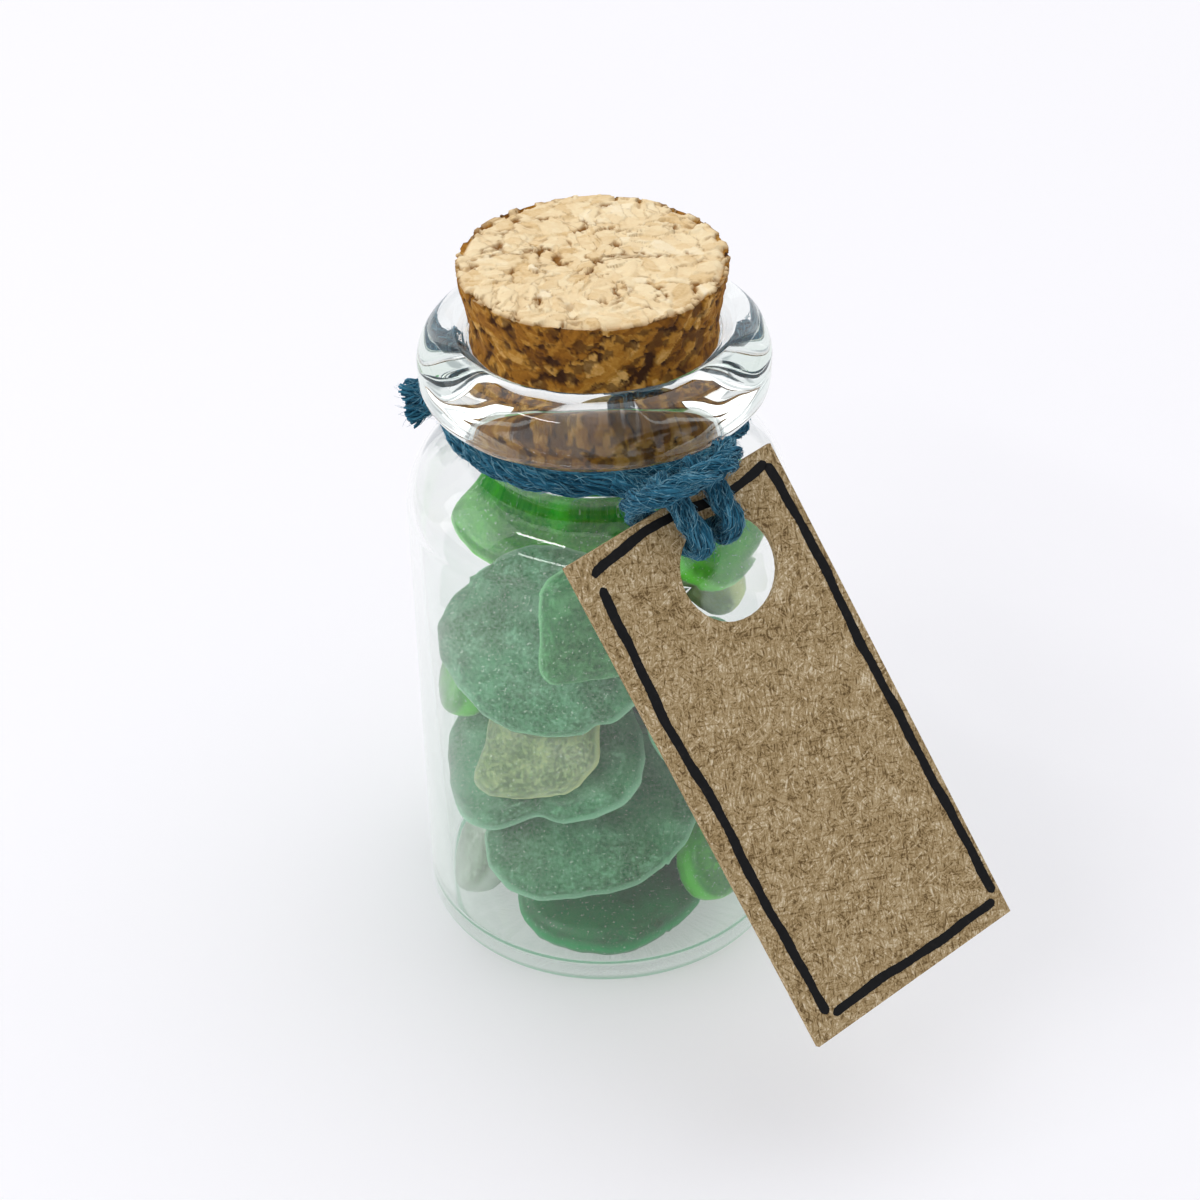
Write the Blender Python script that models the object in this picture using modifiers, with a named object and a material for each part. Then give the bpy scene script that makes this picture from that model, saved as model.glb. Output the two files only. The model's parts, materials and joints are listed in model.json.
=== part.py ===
"""Corked bottle of sea glass with a card tag on twine.

The bottle stands on Z = 0 with its axis on Z, and its front faces -Y.
An azimuth is an angle about Z, from the front (-Y) towards +X.
"""

import math

import bmesh
import bpy
from mathutils import Matrix, Vector
from mathutils.bvhtree import BVHTree

MM = 0.001
WELD_DISTANCE = 0.001 * MM

# Glass bottle
BODY_RADIUS = 11.0 * MM
BASE_EDGE = 0.9 * MM
BODY_WALL = 0.75 * MM
BASE_THICKNESS = 0.9 * MM
FLOOR_CORNER = 0.9 * MM
SHOULDER_START = 28.0 * MM
SHOULDER_HEIGHT = 4.7 * MM
SHOULDER_WALL = 0.9 * MM
SHOULDER_POWER = 1.8
SHOULDER_INSET = 3.9 * MM
NECK_WALL = 1.22 * MM
NECK_HEIGHT = 2.9 * MM
NECK_FILLET = 0.35 * MM
LIP_OVERHANG = 2.77 * MM
LIP_HEIGHT = 4.05 * MM
LIP_LOWER_ROUND = 0.85 * MM
LIP_UPPER_ROUND = 1.5 * MM
MOUTH_DIP = 0.3 * MM
MOUTH_ROUND = 0.4 * MM
BOTTLE_STEPS = 56
ARC_STEPS = 5

INSIDE_RADIUS = BODY_RADIUS - BODY_WALL
NECK_RADIUS = BODY_RADIUS - SHOULDER_INSET
NECK_BORE = NECK_RADIUS - NECK_WALL
LIP_RADIUS = NECK_RADIUS + LIP_OVERHANG
SHOULDER_TOP = SHOULDER_START + SHOULDER_HEIGHT
LIP_BOTTOM = SHOULDER_TOP + NECK_HEIGHT
LIP_TOP = LIP_BOTTOM + LIP_HEIGHT

# Cork stopper
CORK_TAPER = 0.178
CORK_LENGTH = 10.1 * MM
CORK_STAND = 3.85 * MM
CORK_EDGE = 0.3 * MM
CORK_CLEARANCE = 0.25 * MM
CORK_STEPS = 48

CORK_TOP = LIP_TOP + CORK_STAND
CORK_BOTTOM = CORK_TOP - CORK_LENGTH
CORK_TOP_RADIUS = NECK_BORE - CORK_CLEARANCE + CORK_TAPER * (CORK_TOP - SHOULDER_TOP)

# Twine round the neck
TWINE_DIAMETER = 1.5 * MM
TWINE_CLEARANCE = 0.25 * MM
TWINE_SIDES_RESOLUTION = 2
LOOP_STEPS = 56
LOOP_HEIGHT = SHOULDER_TOP + TWINE_DIAMETER
LOOP_RADIUS = NECK_RADIUS + TWINE_CLEARANCE + TWINE_DIAMETER / 2
KNOT_AZIMUTH = math.radians(-105.0)
KNOT_RADIUS = 1.3 * MM
KNOT_LENGTH = 3.2 * MM
KNOT_OUT = 0.9 * MM
KNOT_DROP = 0.25 * MM
TAIL_STEPS = 2

# Thickness of the knot at equal steps along it, as shares of its radius
KNOT_SHARES = (0.45, 0.85, 1.0, 1.0, 0.85, 0.45)

# Routes of the cut tails from the middle of the knot: along the loop, outward and upward,
# as shares of the twine's diameter
TAIL_ROUTE_SHARES = {
    "upper_tail": ((0.07, 0.2, 0.07), (0.13, 0.6, 0.03), (0.13, 1.0, -0.1), (0.13, 1.43, -0.27)),
    "lower_tail": ((0.13, 0.13, -0.2), (0.33, 0.47, -0.47), (0.5, 0.87, -0.73), (0.6, 1.23, -0.87)),
}

# Card tag
TAG_WIDTH = 13.8 * MM
TAG_HEIGHT = 29.45 * MM
TAG_THICKNESS = 0.4 * MM
TAG_FACING = math.radians(28.4)
TAG_LEAN = math.radians(33.6)
TAG_ROLL = math.radians(11.9)
HOLE_RADIUS = 2.9 * MM
HOLE_SIDE_OFFSET = 1.4 * MM
HOLE_TOP_MARGIN = 1.68 * MM
HOLE_STEPS = 36
HOLE_AZIMUTH = math.radians(28.8)
HOLE_OUT = 6.0 * MM
HOLE_DROP = 2.77 * MM
HITCH_DIAMETER = 1.25 * MM
HITCH_STEPS = 2
SWING_AZIMUTH = math.radians(28.4)
SWING_OUT = 3.0 * MM
SWING_RISE = 1.8 * MM

# Cow hitch through the tag's hole, from the middle of the hole along the tag's own axes:
# sideways, upward and outward, as shares of the hole's radius
HITCH_ROUTE_SHARES = (
    (-0.28, 1.76, -0.72), (-0.29, 1.90, -0.38), (-0.36, 1.95, 0.03), (-0.43, 1.79, 0.34),
    (-0.47, 1.48, 0.41), (-0.43, 1.10, 0.41), (-0.38, 0.78, 0.39), (-0.29, 0.57, 0.00),
    (-0.38, 0.78, -0.40), (-0.52, 1.07, -0.43), (-0.79, 1.41, -0.45), (-0.98, 1.72, -0.38),
    (-1.05, 1.95, 0.00), (-1.02, 1.95, 0.41), (-0.74, 1.91, 0.79), (-0.34, 1.88, 0.95),
    (0.07, 1.86, 0.98), (0.52, 1.83, 0.86), (0.84, 1.88, 0.57), (0.97, 1.97, 0.24),
    (0.98, 1.90, -0.05), (0.97, 1.66, -0.36), (0.83, 1.38, -0.43), (0.55, 1.07, -0.43),
    (0.38, 0.78, -0.40), (0.29, 0.57, 0.00), (0.34, 0.78, 0.39), (0.34, 1.10, 0.41),
    (0.33, 1.48, 0.41), (0.33, 1.76, 0.36), (0.31, 1.95, 0.05), (0.29, 1.79, -0.34),
    (0.29, 1.59, -0.69),
)

# Sea glass
RIM_INSET_SHARE = 0.3
DISH_SHARE = 0.06
TUMBLED_LEVELS = 1

# The pile is laid in a bottle with an inside radius of 1 and this height, then stretched to
# the real inside
PILE_HEIGHT_SHARE = 3.1
PIECE_GAP_SHARE = 0.029
WALL_GAP_SHARE = 0.025
START_SHARE = 2 * PILE_HEIGHT_SHARE
SETTLE_STEP_SHARE = PIECE_GAP_SHARE / 6
SETTLE_ROUNDS = 16
PILE_STRETCH = (SHOULDER_TOP - BASE_THICKNESS) / PILE_HEIGHT_SHARE

# Radii of each outline at equal angles, as shares of half the length and half the width
OUTLINE_SHARES = {
    "oval": (1.00, 0.99, 0.98, 0.97, 1.00, 1.00, 0.98, 1.00, 0.99, 0.97),
    "egg": (1.08, 1.02, 0.96, 0.92, 0.92, 0.90, 0.92, 0.94, 0.98, 1.03),
    "kidney": (1.02, 1.04, 0.94, 0.82, 0.98, 1.02, 1.00, 1.02, 1.00, 0.98),
    "square": (0.93, 1.15, 0.94, 1.02, 1.10, 0.93, 1.14, 0.95, 1.03, 1.09),
    "trapezoid": (0.90, 1.18, 0.93, 0.90, 1.06, 0.84, 1.06, 0.90, 0.93, 1.18),
    "wedge": (1.20, 0.92, 0.86, 0.96, 1.00, 0.96, 1.00, 0.96, 0.84, 0.92),
}

# Pieces from the lowest to the highest: name, outline, colour, azimuth and distance of the
# middle, direction that it faces, lean of its face (90 lies flat), turn in its own plane,
# then length, width and thickness. The lengths are shares of the inside radius.
SEA_GLASS_SHARES = (
    ("bottom_dark", "egg", "dark_green", 0, 0.53, 8, 76, 30, 1.27, 1.03, 0.19),
    ("back_left_low", "oval", "sage", 222, 0.78, 222, 20, 20, 0.94, 0.82, 0.21),
    ("back_right_low", "square", "sea_green", 138, 0.78, 138, 18, 50, 0.90, 0.78, 0.21),
    ("bottom_left_pale", "oval", "pale_grey", -68, 0.82, -66, 22, 80, 0.62, 0.47, 0.19),
    ("low_right_green", "egg", "bright_green", 52, 0.78, 50, 36, 30, 0.64, 0.55, 0.19),
    ("rounded_sage", "egg", "sage", -8, 0.53, 2, 54, 205, 1.39, 1.13, 0.20),
    ("right_grey", "square", "pale_grey", 72, 0.74, 66, 30, 15, 0.82, 0.66, 0.20),
    ("kidney_sage", "kidney", "sage", -44, 0.55, -24, 50, 8, 1.31, 1.05, 0.19),
    ("back_left_mid", "egg", "olive", 205, 0.76, 205, 22, -30, 0.94, 0.86, 0.21),
    ("back_right_mid", "oval", "sage", 128, 0.80, 128, 15, 60, 0.92, 0.78, 0.20),
    ("olive_trapezoid", "trapezoid", "olive", -31, 0.68, -18, 36, 90, 0.92, 0.76, 0.17),
    ("left_small_green", "square", "bright_green", -78, 0.86, -72, 24, 20, 0.51, 0.45, 0.17),
    ("mid_right_sage", "oval", "sage", 56, 0.68, 46, 30, 40, 0.94, 0.82, 0.20),
    ("back_left_top", "square", "sea_green", 228, 0.74, 226, 24, 25, 0.86, 0.76, 0.20),
    ("back_right_top", "wedge", "olive", 128, 0.76, 134, 22, 80, 0.84, 0.72, 0.20),
    ("top_green", "wedge", "bright_green", -140, 0.33, -8, 54, 5, 1.33, 0.88, 0.20),
    ("large_sage", "egg", "sage", -32, 0.55, -20, 38, 185, 1.44, 1.35, 0.20),
    ("square_pale", "square", "pale_green", 5, 0.68, 8, 30, 12, 0.90, 0.78, 0.17),
    ("top_right_green", "egg", "bright_green", 60, 0.70, 52, 44, 25, 0.91, 0.74, 0.19),
)

# Base colours as linear red, green and blue, with roughness, for each material
COLOURS = {
    "clear_glass": ((0.88, 0.94, 0.90), 0.03),
    "cork": ((0.55, 0.34, 0.15), 0.85),
    "twine_blue": ((0.03, 0.13, 0.21), 0.9),
    "kraft_card": ((0.36, 0.24, 0.14), 0.9),
    "sage": ((0.16, 0.36, 0.24), 0.5),
    "sea_green": ((0.10, 0.34, 0.20), 0.5),
    "pale_green": ((0.32, 0.50, 0.38), 0.5),
    "pale_grey": ((0.38, 0.47, 0.40), 0.5),
    "bright_green": ((0.05, 0.36, 0.06), 0.5),
    "dark_green": ((0.03, 0.20, 0.09), 0.5),
    "olive": ((0.30, 0.34, 0.14), 0.5),
}


def clear_scene():
    """Remove every object of the open file."""
    for item in list(bpy.data.objects):
        bpy.data.objects.remove(item, do_unlink=True)


def new_collection(name):
    """Make a collection in the scene."""
    group = bpy.data.collections.new(name)
    bpy.context.scene.collection.children.link(group)
    return group


def material(name):
    """Make the named material, or return it if it is there."""
    found = bpy.data.materials.get(name)
    if found:
        return found
    colour, roughness = COLOURS[name]
    made = bpy.data.materials.new(name)
    made.use_nodes = True
    shader = made.node_tree.nodes["Principled BSDF"]
    shader.inputs["Base Color"].default_value = (*colour, 1.0)
    shader.inputs["Roughness"].default_value = roughness
    shader.inputs["Metallic"].default_value = 0.0
    made.diffuse_color = (*colour, 1.0)
    return made


def around(azimuth, distance, height):
    """Place at an azimuth, a distance from the axis and a height."""
    return Vector((distance * math.sin(azimuth), -distance * math.cos(azimuth), height))


def add_object(name, data, finish, group):
    """Link an object with its material into a collection."""
    made = bpy.data.objects.new(name, data)
    data.materials.append(material(finish))
    group.objects.link(made)
    return made


def add_empty(name, place, group):
    """Add an empty that marks a joint's axis."""
    made = bpy.data.objects.new(name, None)
    made.location = place
    made.empty_display_size = LIP_HEIGHT
    group.objects.link(made)
    return made


def arc(centre, radius, start, end, steps=ARC_STEPS):
    """Points of an arc in the profile plane, in degrees."""
    points = []
    for step in range(steps + 1):
        angle = math.radians(start + (end - start) * step / steps)
        points.append((centre[0] + radius * math.cos(angle), centre[1] + radius * math.sin(angle)))
    return points


def shoulder_arc(radius_low, radius_high, height_low, height_high, steps=9):
    """Points of the shoulder's swelling curve, from the body up to the neck."""
    points = []
    for step in range(steps + 1):
        angle = math.pi / 2 * step / steps
        out = max(math.cos(angle), 0.0) ** (2 / SHOULDER_POWER)
        rise = math.sin(angle) ** (2 / SHOULDER_POWER)
        points.append((radius_high + (radius_low - radius_high) * out,
                       height_low + (height_high - height_low) * rise))
    return points


def cork_radius(height):
    """Radius of the tapered cork at a height."""
    return CORK_TOP_RADIUS - CORK_TAPER * (CORK_TOP - height)


def inner_profile():
    """Inside of the bottle, from the middle of the floor up to the mouth."""
    corner = (INSIDE_RADIUS - FLOOR_CORNER, BASE_THICKNESS + FLOOR_CORNER)
    points = [(0.0, BASE_THICKNESS)]
    points += arc(corner, FLOOR_CORNER, -90, 0)
    points += shoulder_arc(INSIDE_RADIUS, NECK_BORE, SHOULDER_START, SHOULDER_TOP - SHOULDER_WALL)
    mouth_height = LIP_TOP - MOUTH_DIP - MOUTH_ROUND
    mouth_radius = cork_radius(mouth_height) + CORK_CLEARANCE
    points += arc((mouth_radius + MOUTH_ROUND, mouth_height), MOUTH_ROUND, 180, 100)
    return points


def outer_profile():
    """Outside of the bottle, from the lip down to the middle of the base."""
    points = arc((LIP_RADIUS - LIP_UPPER_ROUND, LIP_TOP - LIP_UPPER_ROUND), LIP_UPPER_ROUND, 95, 0, 7)
    lower = (LIP_RADIUS - LIP_LOWER_ROUND, LIP_BOTTOM + LIP_LOWER_ROUND)
    points += arc(lower, LIP_LOWER_ROUND, 0, -90)
    fillet = (NECK_RADIUS + NECK_FILLET, LIP_BOTTOM - NECK_FILLET)
    points += arc(fillet, NECK_FILLET, 90, 180, 3)
    points += reversed(shoulder_arc(BODY_RADIUS, NECK_RADIUS, SHOULDER_START, SHOULDER_TOP))
    points += arc((BODY_RADIUS - BASE_EDGE, BASE_EDGE), BASE_EDGE, 0, -90)
    points.append((0.0, 0.0))
    return points


def turned(name, profile, steps, finish, group):
    """Turn a profile in the XZ plane about Z."""
    mesh = bpy.data.meshes.new(name)
    shape = bmesh.new()
    points = [shape.verts.new((radius, 0.0, height)) for radius, height in profile]
    for first, second in zip(points, points[1:]):
        shape.edges.new((first, second))
    shape.to_mesh(mesh)
    shape.free()
    made = add_object(name, mesh, finish, group)
    screw = made.modifiers.new("Turn", "SCREW")
    screw.axis = "Z"
    screw.steps = steps
    screw.render_steps = steps
    screw.use_merge_vertices = True
    screw.merge_threshold = 0.00001
    screw.use_smooth_shade = True
    return made


def add_bottle(group):
    """Blown and moulded bottle: base, wall, shoulder, neck and rolled lip."""
    return turned("glass_bottle", inner_profile() + outer_profile(), BOTTLE_STEPS, "clear_glass", group)


def add_cork(group):
    """Tapered stopper of pressed cork, with its origin on the bottle's axis."""
    low = CORK_BOTTOM
    profile = [(0.0, CORK_TOP), (CORK_TOP_RADIUS - CORK_EDGE, CORK_TOP),
               (cork_radius(CORK_TOP - CORK_EDGE), CORK_TOP - CORK_EDGE),
               (cork_radius(LIP_TOP), LIP_TOP),
               (cork_radius(low + CORK_EDGE), low + CORK_EDGE),
               (cork_radius(low) - CORK_EDGE, low), (0.0, low)]
    profile = [(radius, height - low) for radius, height in profile]
    made = turned("cork_stopper", profile, CORK_STEPS, "cork", group)
    made.location = (0.0, 0.0, low)
    return made


def tube(name, points, group, closed=False, radius=TWINE_DIAMETER / 2, shares=None):
    """Tube of twine along a list of points, with the radius scaled by its shares."""
    data = bpy.data.curves.new(name, "CURVE")
    data.dimensions = "3D"
    data.bevel_depth = radius
    data.bevel_resolution = TWINE_SIDES_RESOLUTION
    data.use_fill_caps = not closed
    line = data.splines.new("POLY")
    line.points.add(len(points) - 1)
    for index, place in enumerate(points):
        line.points[index].co = (*place, 1.0)
        line.points[index].radius = shares[index] if shares else 1.0
    line.use_cyclic_u = closed
    return add_object(name, data, "twine_blue", group)


def as_mesh(made):
    """Turn a curve object into a mesh object with welded caps."""
    depsgraph = bpy.context.evaluated_depsgraph_get()
    mesh = bpy.data.meshes.new_from_object(made.evaluated_get(depsgraph))
    shape = bmesh.new()
    shape.from_mesh(mesh)
    bmesh.ops.remove_doubles(shape, verts=shape.verts, dist=WELD_DISTANCE)
    bmesh.ops.recalc_face_normals(shape, faces=shape.faces)
    shape.to_mesh(mesh)
    shape.free()
    solid = bpy.data.objects.new(made.name + "_solid", mesh)
    solid.matrix_world = made.matrix_world
    made.users_collection[0].objects.link(solid)
    name = made.name
    bpy.data.objects.remove(made, do_unlink=True)
    solid.name = name
    return solid


def smooth_route(points, steps):
    """Points of a Catmull-Rom curve through a route's points."""
    route = [points[0] * 2 - points[1], *points, points[-1] * 2 - points[-2]]
    smooth = []
    for index in range(1, len(route) - 2):
        before, start, end, after = route[index - 1:index + 3]
        for step in range(steps):
            t = step / steps
            smooth.append(0.5 * ((2 * start) + (end - before) * t
                                 + (2 * before - 5 * start + 4 * end - after) * t ** 2
                                 + (3 * start - before - 3 * end + after) * t ** 3))
    smooth.append(points[-1])
    return smooth


def knot_pieces(cutters):
    """Knot and its two cut tails, to be joined to the neck's loop."""
    outward = around(KNOT_AZIMUTH, 1.0, 0.0)
    along = around(KNOT_AZIMUTH + math.pi / 2, 1.0, 0.0)
    up = Vector((0.0, 0.0, 1.0))
    middle = around(KNOT_AZIMUTH, LOOP_RADIUS + KNOT_OUT, LOOP_HEIGHT - KNOT_DROP)
    line = []
    for step in range(len(KNOT_SHARES)):
        line.append(middle + along * KNOT_LENGTH * (step / (len(KNOT_SHARES) - 1) - 0.5))
    pieces = [as_mesh(tube("knot", line, cutters, radius=KNOT_RADIUS, shares=KNOT_SHARES))]
    for name, route in TAIL_ROUTE_SHARES.items():
        points = [middle + (along * t + outward * o + up * z) * TWINE_DIAMETER for t, o, z in route]
        pieces.append(as_mesh(tube(name, smooth_route(points, TAIL_STEPS), cutters)))
    return pieces


def add_neck_twine(group, cutters):
    """Twine round the neck with its knot at the left, as one solid."""
    loop = []
    for step in range(LOOP_STEPS):
        loop.append(around(2 * math.pi * step / LOOP_STEPS, LOOP_RADIUS, LOOP_HEIGHT))
    twine = as_mesh(tube("neck_twine", loop, group, closed=True))
    for piece in knot_pieces(cutters):
        piece.hide_render = True
        piece.display_type = "WIRE"
        union = twine.modifiers.new(piece.name, "BOOLEAN")
        union.operation = "UNION"
        union.solver = "EXACT"
        union.object = piece
    return twine


def tag_axes():
    """Sideways, upward and outward directions of the tag's card."""
    outward = around(TAG_FACING, math.cos(TAG_LEAN), math.sin(TAG_LEAN))
    level = Vector((math.cos(TAG_FACING), math.sin(TAG_FACING), 0.0))
    rise = outward.cross(level)
    side = level * math.cos(TAG_ROLL) + rise * math.sin(TAG_ROLL)
    return side, outward.cross(side), outward


def hole_place():
    """Middle of the tag's hole."""
    return around(HOLE_AZIMUTH, LOOP_RADIUS + HOLE_OUT, LOOP_HEIGHT - HOLE_DROP)


def tag_point(side_way, up_way, out_way):
    """Place in the tag's own axes, measured from the middle of its hole."""
    side, up, outward = tag_axes()
    return hole_place() + side * side_way + up * up_way + outward * out_way


def add_tag(group):
    """Card with a punched hole, as a flat outline with half its thickness on each side."""
    data = bpy.data.curves.new("tag_card", "CURVE")
    data.dimensions = "2D"
    data.fill_mode = "BOTH"
    data.extrude = TAG_THICKNESS / 2
    left = -TAG_WIDTH / 2 - HOLE_SIDE_OFFSET
    right = left + TAG_WIDTH
    top = HOLE_RADIUS + HOLE_TOP_MARGIN
    bottom = top - TAG_HEIGHT
    corners = [(left, bottom), (right, bottom), (right, top), (left, top)]
    hole = []
    for step in range(HOLE_STEPS):
        angle = 2 * math.pi * step / HOLE_STEPS
        hole.append((HOLE_RADIUS * math.cos(angle), HOLE_RADIUS * math.sin(angle)))
    for outline in (corners, hole):
        line = data.splines.new("POLY")
        line.points.add(len(outline) - 1)
        for point, place in zip(line.points, outline):
            point.co = (*place, 0.0, 1.0)
        line.use_cyclic_u = True
    made = add_object("tag_card", data, "kraft_card", group)
    side, up, outward = tag_axes()
    turn = Matrix((side, up, outward)).transposed().to_4x4()
    made.matrix_world = Matrix.Translation(hole_place()) @ turn
    return as_mesh(made)


def add_hitch(group):
    """Same string where it is looped through the tag's hole and over its top edge."""
    points = [tag_point(*(share * HOLE_RADIUS for share in place)) for place in HITCH_ROUTE_SHARES]
    return tube("hitch_twine", smooth_route(points, HITCH_STEPS), group, radius=HITCH_DIAMETER / 2)


def shard_mesh(name, outline, length, width, thickness):
    """Tumbled plate: an outline with a soft rim, slightly dished."""
    shares = OUTLINE_SHARES[outline]
    shape = bmesh.new()
    made = bmesh.ops.create_circle(shape, cap_ends=True, radius=1.0, segments=len(shares))
    for index, vert in enumerate(made["verts"]):
        angle = 2 * math.pi * index / len(shares)
        vert.co.x = shares[index] * math.cos(angle) * length / 2
        vert.co.y = shares[index] * math.sin(angle) * width / 2
    bottom = list(shape.faces)
    grown = bmesh.ops.extrude_face_region(shape, geom=bottom)
    top_verts = [item for item in grown["geom"] if isinstance(item, bmesh.types.BMVert)]
    bmesh.ops.translate(shape, verts=top_verts, vec=(0.0, 0.0, thickness))
    bmesh.ops.translate(shape, verts=shape.verts, vec=(0.0, 0.0, -thickness / 2))
    flat = [face for face in shape.faces if len(face.verts) == len(shares)]
    bmesh.ops.inset_individual(shape, faces=flat, thickness=RIM_INSET_SHARE * width / 2)
    for vert in shape.verts:
        vert.co.z -= DISH_SHARE * (vert.co.x ** 2 + vert.co.y ** 2) / (length / 2)
    bmesh.ops.recalc_face_normals(shape, faces=shape.faces)
    mesh = bpy.data.meshes.new(name)
    shape.to_mesh(mesh)
    shape.free()
    mesh.shade_smooth()
    return mesh


def pile_wall():
    """Inside of the bottle from the floor's corner upward, as shares of the inside radius."""
    wall = []
    for radius, height in inner_profile()[1:]:
        wall.append((radius / INSIDE_RADIUS, (height - BASE_THICKNESS) / PILE_STRETCH))
    return wall


def wall_radius(wall, height):
    """Radius of the inside at a height of the pile."""
    for (radius_low, low), (radius_high, high) in zip(wall, wall[1:]):
        if low <= height <= high and high > low:
            return radius_low + (radius_high - radius_low) * (height - low) / (high - low)
    return wall[0][0] if height < wall[0][1] else wall[-1][0]


def shown_mesh(made, placement):
    """Points and faces of an object's evaluated mesh, placed in the pile."""
    depsgraph = bpy.context.evaluated_depsgraph_get()
    shown = made.evaluated_get(depsgraph)
    mesh = shown.to_mesh()
    points = [placement @ vert.co for vert in mesh.vertices]
    faces = [tuple(face.vertices) for face in mesh.polygons]
    shown.to_mesh_clear()
    return points, faces


def wall_push(wall, points):
    """Smallest shift towards the axis that clears a shard from the wall."""
    push = Vector((0.0, 0.0, 0.0))
    for point in points:
        flat = Vector((point.x, point.y, 0.0))
        excess = flat.length - (wall_radius(wall, point.z) - WALL_GAP_SHARE)
        if excess > push.length:
            push = flat.normalized() * -excess
    return push


def free_fall(points, faces, pile_points, pile_tree):
    """Height that a shard can come down before it meets the floor or the pile."""
    down = Vector((0.0, 0.0, -1.0))
    drop = min(point.z for point in points) - PIECE_GAP_SHARE
    if pile_tree is None:
        return drop
    for point in points:
        hit = pile_tree.ray_cast(point, down)
        if hit[0] is not None:
            drop = min(drop, hit[3] - PIECE_GAP_SHARE)
    tree = BVHTree.FromPolygons(points, faces)
    for point in pile_points:
        hit = tree.ray_cast(point, -down)
        if hit[0] is not None:
            drop = min(drop, hit[3] - PIECE_GAP_SHARE)
    return drop


def least_gap(points, faces, pile_points, pile_tree):
    """Smallest distance between a shard and the pile."""
    if pile_tree is None:
        return PIECE_GAP_SHARE
    tree = BVHTree.FromPolygons(points, faces)
    if tree.overlap(pile_tree):
        return 0.0
    gap = min(pile_tree.find_nearest(point)[3] for point in points)
    return min(gap, min(tree.find_nearest(point)[3] for point in pile_points))


def settle(wall, points, faces, pile_points, pile_tree):
    """Shift that lowers a shard on to the floor or the pile, clear of wall and neighbours."""
    shift = Vector((0.0, 0.0, 0.0))
    for _ in range(SETTLE_ROUNDS):
        moved = [point + shift for point in points]
        fall = free_fall(moved, faces, pile_points, pile_tree)
        push = wall_push(wall, [point - Vector((0.0, 0.0, fall)) for point in moved])
        if push.length < SETTLE_STEP_SHARE:
            break
        shift += push
    shift.z -= fall
    for _ in range(SETTLE_ROUNDS):
        moved = [point + shift for point in points]
        gap = least_gap(moved, faces, pile_points, pile_tree)
        if gap >= PIECE_GAP_SHARE - SETTLE_STEP_SHARE:
            break
        shift.z += max(PIECE_GAP_SHARE - gap, SETTLE_STEP_SHARE)
    return shift


def add_sea_glass(group):
    """Tumbled shards, lowered one by one into the bottle."""
    stretch = Matrix.Translation((0.0, 0.0, BASE_THICKNESS))
    stretch = stretch @ Matrix.Diagonal((INSIDE_RADIUS, INSIDE_RADIUS, PILE_STRETCH, 1.0))
    wall = pile_wall()
    all_points = []
    all_faces = []
    tree = None
    for row in SEA_GLASS_SHARES:
        name, outline, finish, azimuth, distance, facing, lean, turn, length, width, thickness = row
        mesh = shard_mesh(name, outline, length, width, thickness)
        made = add_object("sea_glass_" + name, mesh, finish, group)
        soft = made.modifiers.new("Tumbled", "SUBSURF")
        soft.levels = TUMBLED_LEVELS
        soft.render_levels = TUMBLED_LEVELS
        placement = (Matrix.Translation(around(math.radians(azimuth), distance, START_SHARE))
                     @ Matrix.Rotation(math.radians(facing), 4, "Z")
                     @ Matrix.Rotation(math.radians(90 - lean), 4, "X")
                     @ Matrix.Rotation(math.radians(turn), 4, "Z"))
        points, faces = shown_mesh(made, placement)
        shift = settle(wall, points, faces, all_points, tree)
        mesh.transform(stretch @ Matrix.Translation(shift) @ placement)
        offset = len(all_points)
        all_points += [point + shift for point in points]
        all_faces += [tuple(index + offset for index in face) for face in faces]
        tree = BVHTree.FromPolygons(all_points, all_faces)


def main():
    """Build the whole object."""
    clear_scene()
    group = new_collection("corked_bottle_of_sea_glass")
    cutters = new_collection("helpers")
    add_bottle(group)
    add_cork(group)
    twine = add_neck_twine(group, cutters)
    tag = add_tag(group)
    hitch = add_hitch(group)
    add_sea_glass(group)
    bpy.context.view_layer.update()
    swing = around(SWING_AZIMUTH, LOOP_RADIUS + SWING_OUT, LOOP_HEIGHT + SWING_RISE)
    pivot = add_empty("tag_pivot", swing, group)
    bpy.context.view_layer.update()
    for piece in (tag, hitch):
        piece.parent = pivot
        piece.matrix_parent_inverse = pivot.matrix_world.inverted()


main()
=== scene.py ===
"""Looks of a corked bottle of sea glass with a card tag on twine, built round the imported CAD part.

The bottle stands on Z = 0 with its axis on Z, and its front faces -Y. All lengths are in metres.
An azimuth is an angle about Z, from the front (-Y) towards +X.
"""

import json
import logging
import math
from collections.abc import Callable, Iterable, Sequence
from dataclasses import dataclass
from enum import Enum
from typing import NamedTuple

import bmesh
import bpy
import numpy as np
from mathutils import Matrix, Vector, noise
from mathutils.bvhtree import BVHTree
from mathutils.kdtree import KDTree


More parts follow.
